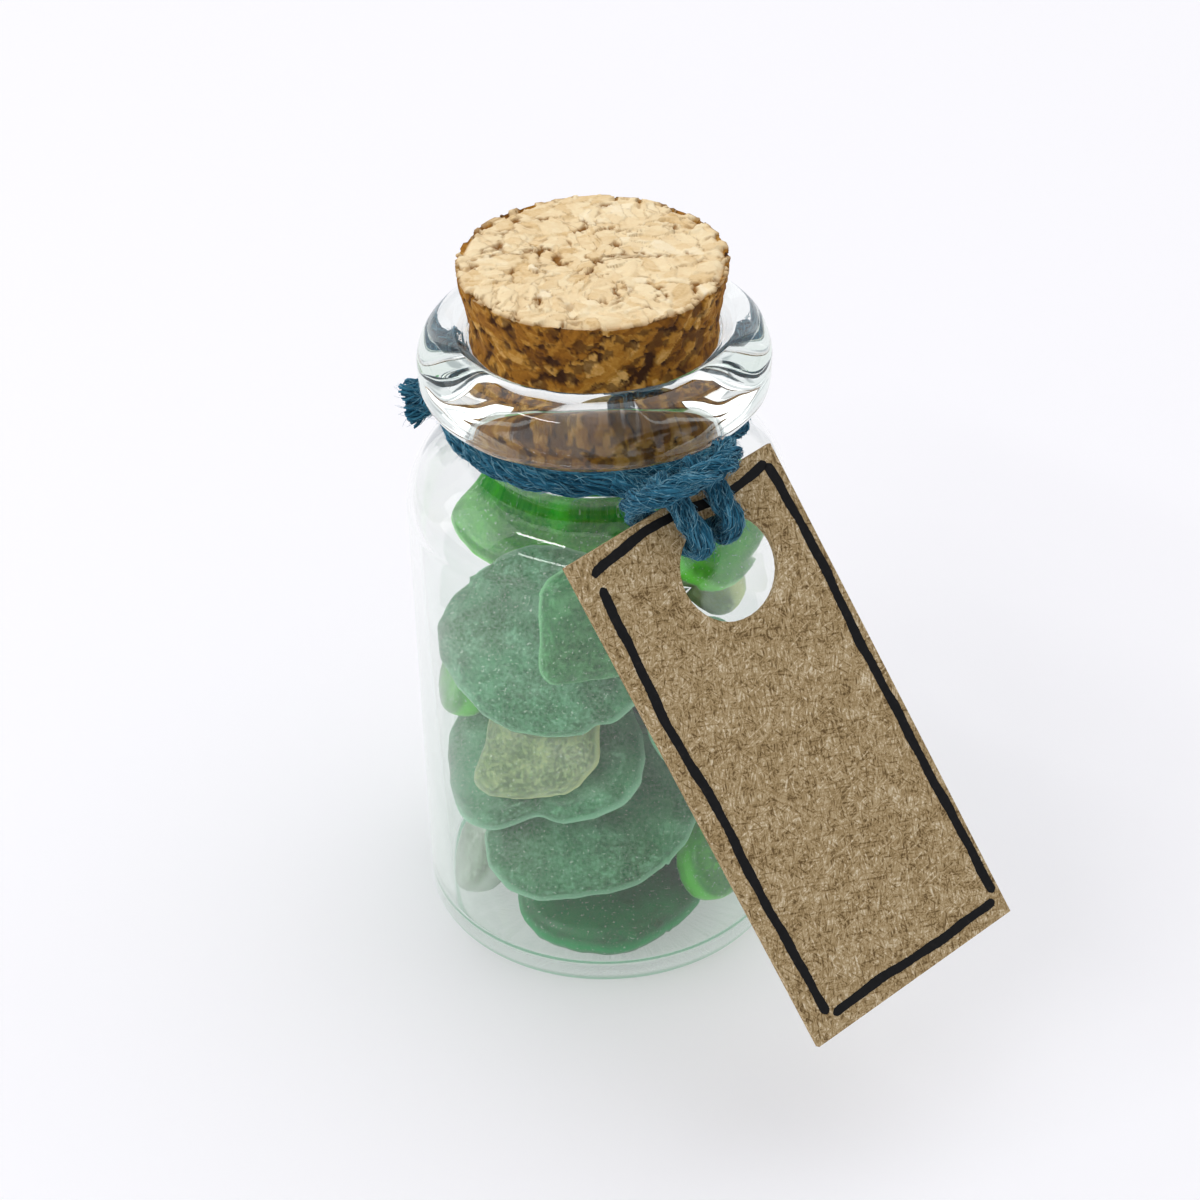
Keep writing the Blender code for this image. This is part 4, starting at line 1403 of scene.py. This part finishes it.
@dataclass
class Yarn:
    """Soft yarn of a few plies, each of many fibres, with stray ends."""

    diameter: float = 1.5 * MM
    plies: int = 3
    fibres: int = 17
    fibre_radius: float = 0.06 * MM
    ply_pitch: float = 7.5 * MM
    fibre_pitch: float = 6.0 * MM
    spacing: float = 0.2 * MM
    lint_per_mm: float = 60.0
    lint_radius: float = 0.024 * MM
    stray_per_mm: float = 34.0
    stray_length: float = 0.6 * MM
    stray_radius: float = 0.016 * MM
    fray: float = 0.0
    # Distance of a ply from the middle and its radius, as shares of the yarn's diameter
    ply_place: float = 0.235
    ply_size: float = 0.265
    core_size: float = 0.85
    # Tone of each ply's core, dark as painted shade in the hollows between its fibres
    core_shade_tone: float = 0.12
    tones: tuple[float, float] = (0.2, 0.75)
    drift: float = 0.35
    drift_pitch: float = 3.1 * MM
    swell: float = 0.16
    swell_pitch: float = 1.7 * MM
    fibre_spread: float = 0.3
    lint_skew: float = 0.55
    lint_spread: float = 1.7
    stray_start: float = 0.47
    stray_steps: int = 5

    def lay(self, fibres: FibreMesh, route: Sequence[Vector], closed: bool,
            rng: np.random.Generator) -> None:
        """Lay the yarn's fibres along a route.

        Args:
            fibres: the mesh that takes them.
            route: the yarn's centre line.
            closed: whether it joins its own start.
            rng: source of its unevenness.
        """
        line = even_route(route, self.spacing, closed)
        across, second = side_axes(line, closed)
        count = len(line)
        length = count * self.spacing
        walk = np.arange(count) / count if closed else np.linspace(0.0, 1.0, count)
        ply_turns, own_turns = (max(round(length / pitch), 1) if closed else length / pitch
                                for pitch in (self.ply_pitch, self.fibre_pitch))
        ply_out = self.diameter * self.ply_place
        ply_reach = self.diameter * self.ply_size - self.fibre_radius
        open_up = 1.0 + self.fray * smooth_step(0.55, 1.0, walk)
        for ply in range(self.plies):
            angle = 2 * np.pi * (ply / self.plies + ply_turns * walk)
            middle = line + way_at(across, second, angle) * (ply_out * open_up)[:, None]
            # Each ply's core takes the darkest tone, as painted shade in the hollows between its fibres
            fibres.add(middle, np.full(count, ply_reach * self.core_size), self.core_shade_tone, closed, 7)
            for fibre in range(self.fibres):
                wander = rng.uniform(0, 2 * np.pi, 2)
                drifts, swells = (np.sin(2 * np.pi * walk * round(length / pitch) + start)
                                  for pitch, start in zip((self.drift_pitch, self.swell_pitch), wander))
                turn = 2 * np.pi * (fibre / self.fibres - own_turns * walk) + self.drift * drifts + angle
                reach = ply_reach * (1.0 + self.swell * swells) * open_up
                place = middle + way_at(across, second, turn) * reach[:, None]
                thick = self.fibre_radius * (1.0 + self.fibre_spread * rng.uniform(-1, 1))
                fibres.add(place, np.full(count, thick), rng.uniform(*self.tones), closed)
            self.add_lint(fibres, middle, (across, second), angle, ply_reach * open_up, rng)
        self.add_strays(fibres, line, (across, second), rng)

    def add_lint(self, fibres: FibreMesh, middle: np.ndarray, ways: tuple[np.ndarray, np.ndarray],
                 outward: np.ndarray, reach: np.ndarray, rng: np.random.Generator) -> None:
        """Lay short fibres askew over the outer side of one ply.

        Args:
            fibres: the mesh that takes them.
            middle: the ply's centre line.
            ways: the two directions across the yarn at each of its points.
            outward: angle of the ply's outer side at each point.
            reach: the ply's radius at each point.
            rng: source of their places.
        """
        across, second = ways
        for _ in range(int(len(middle) * self.spacing / MM * self.lint_per_mm / self.plies)):
            rows = rng.integers(4, 8)
            row = rng.integers(0, len(middle) - rows)
            part = slice(row, row + rows)
            skew = rng.uniform(-self.lint_skew, self.lint_skew) * np.arange(rows)
            turn = outward[part] + rng.uniform(-self.lint_spread, self.lint_spread) + skew
            out = way_at(across[part], second[part], turn)
            lift = 1.0 + 0.15 * rng.uniform(0.3, 1.0) + 0.12 * np.sin(np.arange(rows) * 1.1)
            place = middle[part] + out * ((reach[part] + self.fibre_radius * 0.7) * lift)[:, None]
            radii = self.lint_radius * rng.uniform(0.6, 1.2) * np.linspace(1.0, 0.6, rows)
            fibres.add(place, radii, rng.uniform(0.1, 1.0), False, 3)

    def add_strays(self, fibres: FibreMesh, line: np.ndarray, ways: tuple[np.ndarray, np.ndarray],
                   rng: np.random.Generator) -> None:
        """Add the short loose fibres that stand off the yarn.

        Args:
            fibres: the mesh that takes them.
            line: the yarn's centre line.
            ways: the two directions across the yarn at each of its points.
            rng: source of their places.
        """
        across, second = ways
        for _ in range(int(len(line) * self.spacing / MM * self.stray_per_mm)):
            row = rng.integers(1, len(line) - 1)
            angle = rng.uniform(0, 2 * np.pi)
            out = across[row] * math.cos(angle) + second[row] * math.sin(angle)
            ahead = line[row + 1] - line[row]
            ahead = ahead / np.linalg.norm(ahead) * rng.choice((-1.0, 1.0))
            round_way = np.cross(ahead, out)
            reach = self.stray_length * rng.uniform(0.4, 1.3)
            rise = rng.uniform(0.0, 0.55)
            swing = rng.uniform(-0.7, 0.7)
            share = np.linspace(0.0, 1.0, self.stray_steps)[:, None]
            start = line[row] + out * self.diameter * self.stray_start
            curl = out * rise * share ** 1.6 - out * 0.18 * share ** 2
            place = start + reach * (ahead * share + curl + round_way * swing * share ** 2)
            radii = self.stray_radius * (1.0 - 0.6 * share[:, 0])
            fibres.add(place, radii, rng.uniform(0.6, 1.0), False, 3)


@dataclass
class NeckTwine:
    """Yarn tied round the neck, with its knot and cut tails at the left."""

    loop_radius: float = 8.1 * MM
    loop_height: float = 34.2 * MM
    diameter: float = 1.5 * MM
    knot_azimuth: float = math.radians(-105.0)
    knot_out: float = 0.9 * MM
    knot_drop: float = 0.25 * MM
    knot_radius: float = 0.62 * MM
    knot_length: float = 1.9 * MM
    knot_turns: float = 2.2
    knot_steps: int = 60
    knot_yarn: float = 0.8
    knot_ply_pitch: float = 4.0 * MM
    loop_steps: int = 180
    tail_yarn: float = 0.85
    tail_fray: float = 0.45
    seed: int = 11

    def route_round_neck(self) -> list[Vector]:
        """Points of the loop round the neck."""
        return [around(2 * math.pi * step / self.loop_steps, self.loop_radius, self.loop_height)
                for step in range(self.loop_steps)]

    def knot_axes(self) -> tuple[Vector, Vector, Vector]:
        """Place the knot.

        Returns:
            Its middle and its directions along the loop and outward.
        """
        middle = around(self.knot_azimuth, self.loop_radius + self.knot_out,
                        self.loop_height - self.knot_drop)
        along = around(self.knot_azimuth + math.pi / 2, 1.0, 0.0)
        return middle, along, around(self.knot_azimuth, 1.0, 0.0)

    def knot_route(self) -> list[Vector]:
        """Wind the turns that make the knot.

        Returns:
            Their points.
        """
        middle, along, outward = self.knot_axes()
        points = []
        for step in range(self.knot_steps + 1):
            share = step / self.knot_steps
            angle = 2 * math.pi * self.knot_turns * share
            points.append(middle + along * self.knot_length * (share - 0.5)
                          + (outward * math.cos(angle) + UP * math.sin(angle)) * self.knot_radius)
        return points

    def tail_routes(self) -> list[list[Vector]]:
        """Lay the two cut tails, from shares of the diameter along, outward and up.

        Returns:
            The points of each, from the knot on.
        """
        middle, along, outward = self.knot_axes()
        tails = (((0.07, 0.2, 0.07), (0.13, 0.6, 0.03), (0.13, 1.0, -0.1), (0.13, 1.43, -0.27)),
                 ((0.13, 0.13, -0.2), (0.33, 0.47, -0.47), (0.5, 0.87, -0.73), (0.6, 1.23, -0.87)))
        return [smooth_route([middle + (along * ahead + outward * out + UP * rise) * self.diameter
                              for ahead, out, rise in tail], 6) for tail in tails]

    def build(self, finish: bpy.types.Material) -> None:
        """Make the yarn in place of its CAD node, riding on the string.

        Args:
            finish: the yarn's material.
        """
        rng = np.random.default_rng(self.seed)
        fibres = FibreMesh()
        Yarn(self.diameter).lay(fibres, self.route_round_neck(), True, rng)
        knot = Yarn(self.diameter * self.knot_yarn, ply_pitch=self.knot_ply_pitch)
        knot.lay(fibres, self.knot_route(), False, rng)
        for route in self.tail_routes():
            tail = Yarn(self.diameter * self.tail_yarn, fray=self.tail_fray)
            tail.lay(fibres, route, False, rng)
        mesh = fibres.mesh("neck_twine_looks")
        piece = add_piece("spun_neck_twine", mesh, finish)
        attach(piece, Body.STRING.value)
        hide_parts("neck_twine")
        LOG.info("neck twine: %d faces", len(mesh.polygons))


@dataclass
class CardTag:
    """Card tag with its punched hole, drawn border and the yarn hitched through it."""

    facing: float = math.radians(28.4)
    lean: float = math.radians(33.6)
    roll: float = math.radians(11.9)
    hole_azimuth: float = math.radians(28.8)
    hole_distance: float = 14.1 * MM
    hole_height: float = 31.43 * MM
    hole_radius: float = 2.9 * MM
    thickness: float = 0.4 * MM
    hitch_diameter: float = 1.25 * MM
    hitch_yarn: float = 1.06
    hitch_ply_pitch: float = 4.6 * MM
    hitch_fibre_pitch: float = 4.4 * MM
    hitch_ends: tuple[float, float] = (math.radians(6.0), math.radians(52.0))
    hitch_out: float = 8.5 * MM
    hitch_height: float = 34.5 * MM
    line_width: float = 0.53 * MM
    line_rise: float = 0.02 * MM
    line_step_mm: float = 0.16
    line_wobble: float = 0.07
    line_drifts: tuple[float, float] = (0.035, 0.02)
    line_swells: tuple[float, float] = (0.07, 0.04)
    seed: int = 5

    def axes(self) -> tuple[Vector, Vector, Vector]:
        """Turn the card as it hangs.

        Returns:
            Its sideways, upward and outward directions.
        """
        outward = around(self.facing, math.cos(self.lean), math.sin(self.lean))
        level = Vector((math.cos(self.facing), math.sin(self.facing), 0.0))
        rise = outward.cross(level)
        side = level * math.cos(self.roll) + rise * math.sin(self.roll)
        return side, outward.cross(side), outward

    def place(self, side_way: float, up_way: float, out_way: float) -> Vector:
        """Find a place in the card's own axes, measured from the middle of its hole.

        Args:
            side_way: distance sideways.
            up_way: distance up the card.
            out_way: distance out of its face.

        Returns:
            The place.
        """
        side, up, outward = self.axes()
        hole = around(self.hole_azimuth, self.hole_distance, self.hole_height)
        return hole + side * side_way + up * up_way + outward * out_way

    def hitch_route(self) -> list[Vector]:
        """Lay the cow hitch, from shares of the hole's radius in the card's axes.

        Returns:
            Its points.
        """
        shares = (
            (-0.28, 1.76, -0.72), (-0.29, 1.90, -0.38), (-0.36, 1.95, 0.03), (-0.43, 1.79, 0.34),
            (-0.47, 1.48, 0.41), (-0.43, 1.10, 0.41), (-0.38, 0.78, 0.39), (-0.29, 0.57, 0.00),
            (-0.38, 0.78, -0.40), (-0.52, 1.07, -0.43), (-0.79, 1.41, -0.45), (-0.98, 1.72, -0.38),
            (-1.05, 1.95, 0.00), (-1.02, 1.95, 0.41), (-0.74, 1.91, 0.79), (-0.34, 1.88, 0.95),
            (0.07, 1.86, 0.98), (0.52, 1.83, 0.86), (0.84, 1.88, 0.57), (0.97, 1.97, 0.24),
            (0.98, 1.90, -0.05), (0.97, 1.66, -0.36), (0.83, 1.38, -0.43), (0.55, 1.07, -0.43),
            (0.38, 0.78, -0.40), (0.29, 0.57, 0.00), (0.34, 0.78, 0.39), (0.34, 1.10, 0.41),
            (0.33, 1.48, 0.41), (0.33, 1.76, 0.36), (0.31, 1.95, 0.05), (0.29, 1.79, -0.34),
            (0.29, 1.59, -0.69))
        points = [self.place(*(share * self.hole_radius for share in place)) for place in shares]
        start, end = (around(azimuth, self.hitch_out, self.hitch_height)
                      for azimuth in self.hitch_ends)
        return smooth_route([start, *points, end], 8)

    def border_lines(self) -> list[list[tuple[float, float]]]:
        """Lay out the strokes of the drawn border.

        Returns:
            Their points, in millimetres sideways and upward from the hole.
        """
        return [
            [(-7.05, 3.3), (-6.75, 3.6), (-4.6, 3.88), (-2.3, 4.0), (-0.3, 3.8), (1.9, 3.5),
             (3.4, 3.6), (4.75, 3.8)],
            [(4.7, 3.75), (4.9, 1.9), (4.95, -2.3), (4.88, -6.7), (4.86, -9.7), (4.93, -12.9),
             (4.98, -17.9), (5.1, -23.4)],
            [(4.9, -23.85), (0.9, -23.87), (-3.4, -23.75), (-6.7, -23.82)],
            [(-6.95, -23.6), (-7.07, -20.5), (-7.17, -16.9), (-7.1, -11.1), (-7.34, -5.2),
             (-7.18, -0.8), (-7.0, 2.7)]]

    def build_border(self, finish: bpy.types.Material) -> None:
        """Lay the border's strokes on the front of the card as thin films of ink.

        Args:
            finish: the ink's material.
        """
        rng = np.random.default_rng(self.seed)
        points, faces = [], []
        half = self.line_width / 2
        levels = (self.thickness / 2 + self.line_rise, self.thickness / 2 - self.line_rise)
        for stroke in self.border_lines():
            line = [Vector((x * MM, y * MM, 0.0)) for x, y in stroke]
            route = even_route(smooth_route(line, 12), self.line_step_mm * MM, False)
            ahead = np.gradient(route, axis=0)
            ahead /= np.linalg.norm(ahead, axis=1)[:, None]
            across = np.stack([-ahead[:, 1], ahead[:, 0]], 1)
            rows = len(route)
            ends = np.minimum(np.arange(rows), np.arange(rows)[::-1]) * self.line_step_mm * MM
            along = np.arange(rows) * self.line_step_mm
            slow, fast = self.line_drifts
            drift = slow * np.sin(along / 1.3 + rng.uniform(0, 6)) + fast * np.sin(along / 0.47)
            slow, fast = self.line_swells
            swell = 1 + slow * np.sin(along / 0.8 + rng.uniform(0, 6)) + fast * np.sin(along / 0.33)
            taper = np.sqrt(np.clip(1 - (1 - np.minimum(ends / half, 1)) ** 2, 0.08, 1))
            for row in range(rows):
                start = len(points)
                for way in (-1.0, 1.0):
                    wobble = 1 + self.line_wobble * rng.uniform(-1, 1)
                    reach = way * half * taper[row] * swell[row] * wobble + drift[row] * MM
                    edge = route[row, :2] + across[row] * reach
                    points += [self.place(edge[0], edge[1], level) for level in levels]
                if row:
                    before = start - 4
                    faces += [(before, before + 2, start + 2, start),
                              (before + 1, before, start, start + 1),
                              (before + 2, before + 3, start + 3, start + 2),
                              (before + 3, before + 1, start + 1, start + 3)]
                if row in (0, rows - 1):
                    cap = (start, start + 1, start + 3, start + 2)
                    faces.append(cap if row == 0 else cap[::-1])
        mesh = mesh_from("border_ink_looks", np.array([list(point) for point in points]), faces)
        mesh.shade_flat()
        piece = add_piece("drawn_border", mesh, finish)
        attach(piece, Body.TAG.value)
        LOG.info("border: %d faces", len(mesh.polygons))

    def build_hitch(self, finish: bpy.types.Material) -> None:
        """Make the hitch in place of its CAD node.

        Args:
            finish: the yarn's material.
        """
        fibres = FibreMesh()
        yarn = Yarn(self.hitch_diameter * self.hitch_yarn, ply_pitch=self.hitch_ply_pitch,
                    fibre_pitch=self.hitch_fibre_pitch)
        yarn.lay(fibres, self.hitch_route(), False, np.random.default_rng(self.seed))
        mesh = fibres.mesh("hitch_twine_looks")
        piece = add_piece("spun_hitch_twine", mesh, finish)
        loop_end = self.place(0.0, 5.1 * MM, -2.6 * MM)
        hitch_start = self.place(0.0, 5.3 * MM, -1.5 * MM)
        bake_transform(piece)
        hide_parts("hitch_twine")
        LOG.info("hitch: %d faces", len(mesh.polygons))

    def build(self, twine: bpy.types.Material) -> None:
        """Give the card its board, and add the border and the hitch.

        Args:
            twine: the yarn's material.
        """
        card = frame["nodes"]["tag_card"]
        card.data.materials.clear()
        side, up, _ = self.axes()
        card.data.materials.append(KraftCard(side, up).material())
        self.build_border(MarkerInk().material())
        self.build_hitch(twine)


class SoftBox(NamedTuple):
    """A lamp that faces the bottle, with its middle, its width and height, and its power."""

    name: str
    place: tuple[float, float, float]
    size: tuple[float, float]
    watts: float


@dataclass
class Studio:
    """White sweep, soft light and the photograph's camera."""

    floor_size: float = 3.0
    floor_steps: int = 24
    floor_colour: str = "#FDFCFF"
    sky_colour: str = "#FBFAFF"
    paper_pitch: float = 0.6 * MM
    room_colour: str = "#EEF0F3"
    dim_colour: str = "#8C969C"
    sky_strength: float = 0.62
    # How far the floor goes to plain white near the bottle, through glass and far away
    floor_lift_near: float = 0.12
    floor_lift_glass: float = 0.3
    floor_lift_far: float = 1.0
    near: float = 0.035
    far: float = 0.45
    camera_place: tuple[float, float, float] = (-0.00006, -0.13888, 0.12073)
    camera_ahead: tuple[float, float, float] = (0.0, 0.8112, -0.58477)
    camera_roll: float = -0.0259
    lens: float = 87.13
    lamps: tuple[SoftBox, ...] = (
        SoftBox("overhead_box", (0.12, 0.24, 0.85), (1.3, 0.9), 3.3),
        SoftBox("left_box", (-0.55, -0.02, 0.34), (0.5, 0.4), 0.8),
        SoftBox("front_strip", (-0.24, -0.27, 0.36), (0.24, 0.02), 0.28))
    aim: tuple[float, float, float] = (0.0, 0.0, 0.02)

    def build_floor(self) -> None:
        """Lay the white sheet that the bottle stands on."""
        half = self.floor_size / 2
        steps = self.floor_steps
        places = [-half + self.floor_size * step / steps for step in range(steps + 1)]
        points = [(column, row, 0.0) for row in places for column in places]
        faces = []
        for row in range(steps):
            for low in range(row * (steps + 1), row * (steps + 1) + steps):
                faces.append((low, low + 1, low + steps + 2, low + steps + 1))
        floor = add_piece("paper_sweep", mesh_from("paper_sweep_mesh", np.array(points), faces),
                          self.paper())

    def paper(self) -> bpy.types.Material:
        """Make the sheet's matt paper, which goes to plain white far from the bottle.

        Returns:
            The material.
        """
        made, tree = blank_material("paper_sweep_matt")
        place = add_node(tree, "TexCoord").outputs["Object"]
        grain = add_node(tree, "TexNoise", {"Scale": per_metre(self.paper_pitch)}, {"Vector": place})
        bump = add_node(tree, "Bump", {"Strength": 0.03, "Distance": 0.02 * MM}, {"Height": grain})
        paper = add_node(tree, "BsdfPrincipled", {
            "Base Color": self.floor_colour, "Roughness": 0.7, "Specular IOR Level": 0.1}, {
            "Normal": bump})
        white = add_node(tree, "Emission", {"Color": self.floor_colour, "Strength": 1.0})
        ray = add_node(tree, "LightPath").outputs
        glassy = add_node(tree, "Math", {"operation": "MAXIMUM"}, {
            0: ray["Is Glossy Ray"], 1: ray["Is Transmission Ray"]})
        seen = add_node(tree, "Math", {"operation": "MAXIMUM"}, {0: ray["Is Camera Ray"], 1: glassy})
        away = add_node(tree, "VectorMath", {"operation": "LENGTH"}, {0: place})
        least = add_node(tree, "Math", {
            "operation": "MULTIPLY_ADD", 1: self.floor_lift_glass, 2: self.floor_lift_near}, {
            0: glassy})
        share = add_node(tree, "MapRange", {
            "From Min": self.near, "From Max": self.far, "To Max": self.floor_lift_far}, {
            "Value": away, "To Min": least})
        lift = add_node(tree, "Math", {"operation": "MULTIPLY"}, {0: seen, 1: share})
        surface = add_node(tree, "MixShader", links={0: lift, 1: paper, 2: white})
        add_node(tree, "OutputMaterial", links={"Surface": surface})
        return made

    def build_sky(self) -> None:
        """Make the pale surround, white to the camera and dimmer behind the photographer."""
        world = bpy.data.worlds.new("studio_surround")
        bpy.context.scene.world = world
        world.use_nodes = True
        tree = world.node_tree
        tree.nodes.clear()
        place = add_node(tree, "TexCoord").outputs["Generated"]
        parts = add_node(tree, "SeparateXYZ", links={0: place})
        back = add_node(tree, "MapRange", {"From Min": -0.7, "From Max": 0.35}, {
            "Value": parts.outputs["Y"]})
        surround = add_node(tree, "Mix", {
            "data_type": "RGBA", MIX_A: self.room_colour, MIX_B: self.sky_colour}, {0: back})
        beams = add_node(tree, "TexNoise", {
            "Scale": 2.6, "Detail": 1.0, "Distortion": 0.4}, {"Vector": place})
        dim = add_node(tree, "MapRange", {
            "From Min": 0.54, "From Max": 0.64, "To Max": 0.6}, {"Value": beams})
        room = add_node(tree, "Mix", {"data_type": "RGBA", MIX_B: self.dim_colour}, {
            0: dim, MIX_A: surround})
        soft = add_node(tree, "Background", {"Strength": self.sky_strength}, {0: surround})
        mirrored = add_node(tree, "Background", {"Strength": 1.0}, {0: room})
        seen = add_node(tree, "Background", {0: self.sky_colour, 1: 1.0})
        ray = add_node(tree, "LightPath").outputs
        through = add_node(tree, "Math", {"operation": "MAXIMUM"}, {
            0: ray["Is Glossy Ray"], 1: ray["Is Transmission Ray"]})
        lit = add_node(tree, "MixShader", links={0: through, 1: soft, 2: mirrored})
        mixed = add_node(tree, "MixShader", links={0: ray["Is Camera Ray"], 1: lit, 2: seen})
        add_node(tree, "OutputWorld", links={0: mixed})

    def add_lamp(self, box: SoftBox) -> None:
        """Hang a soft box that faces the bottle.

        Args:
            box: the lamp's place, size and power.
        """
        data = bpy.data.lights.new(box.name, "AREA")
        data.shape = "RECTANGLE"
        data.size, data.size_y = box.size
        data.energy = box.watts
        lamp = bpy.data.objects.new(box.name, data)
        bpy.context.scene.collection.objects.link(lamp)
        lamp.location = box.place
        ahead = Vector(self.aim) - Vector(box.place)
        lamp.rotation_euler = ahead.to_track_quat("-Z", "Y").to_euler()

    def build_camera(self) -> None:
        """Set the camera where the photograph was taken from."""
        ahead = Vector(self.camera_ahead)
        right = Vector((1.0, 0.0, 0.0))
        rise = right.cross(ahead)
        turn = self.camera_roll
        level = right * math.cos(turn) + rise * math.sin(turn)
        upright = rise * math.cos(turn) - right * math.sin(turn)
        data = bpy.data.cameras.new("photo_camera")
        data.lens = self.lens
        data.sensor_width = 36.0
        data.clip_start = 1.0 * MM
        camera = bpy.data.objects.new("photo_camera", data)
        bpy.context.scene.collection.objects.link(camera)
        axes = Matrix((level, upright, -ahead)).transposed().to_4x4()
        camera.matrix_world = Matrix.Translation(self.camera_place) @ axes
        bpy.context.scene.camera = camera

    def build(self) -> None:
        """Set up the floor, the surround, the lamps and the camera."""
        bpy.context.scene.view_settings.view_transform = "Standard"
        self.build_floor()
        self.build_sky()
        for box in self.lamps:
            self.add_lamp(box)
        self.build_camera()


def main() -> None:
    """Build the looks of every piece round the frame."""
    logging.basicConfig(level=logging.INFO, format="%(name)s: %(message)s")
    Studio().build()
    GlassBottle().build()
    CorkStopper().build()
    SeaGlassPile().build()
    twine = SpunTwine().material()
    NeckTwine().build(twine)
    CardTag().build(twine)


if __name__ == "__main__":
    main()
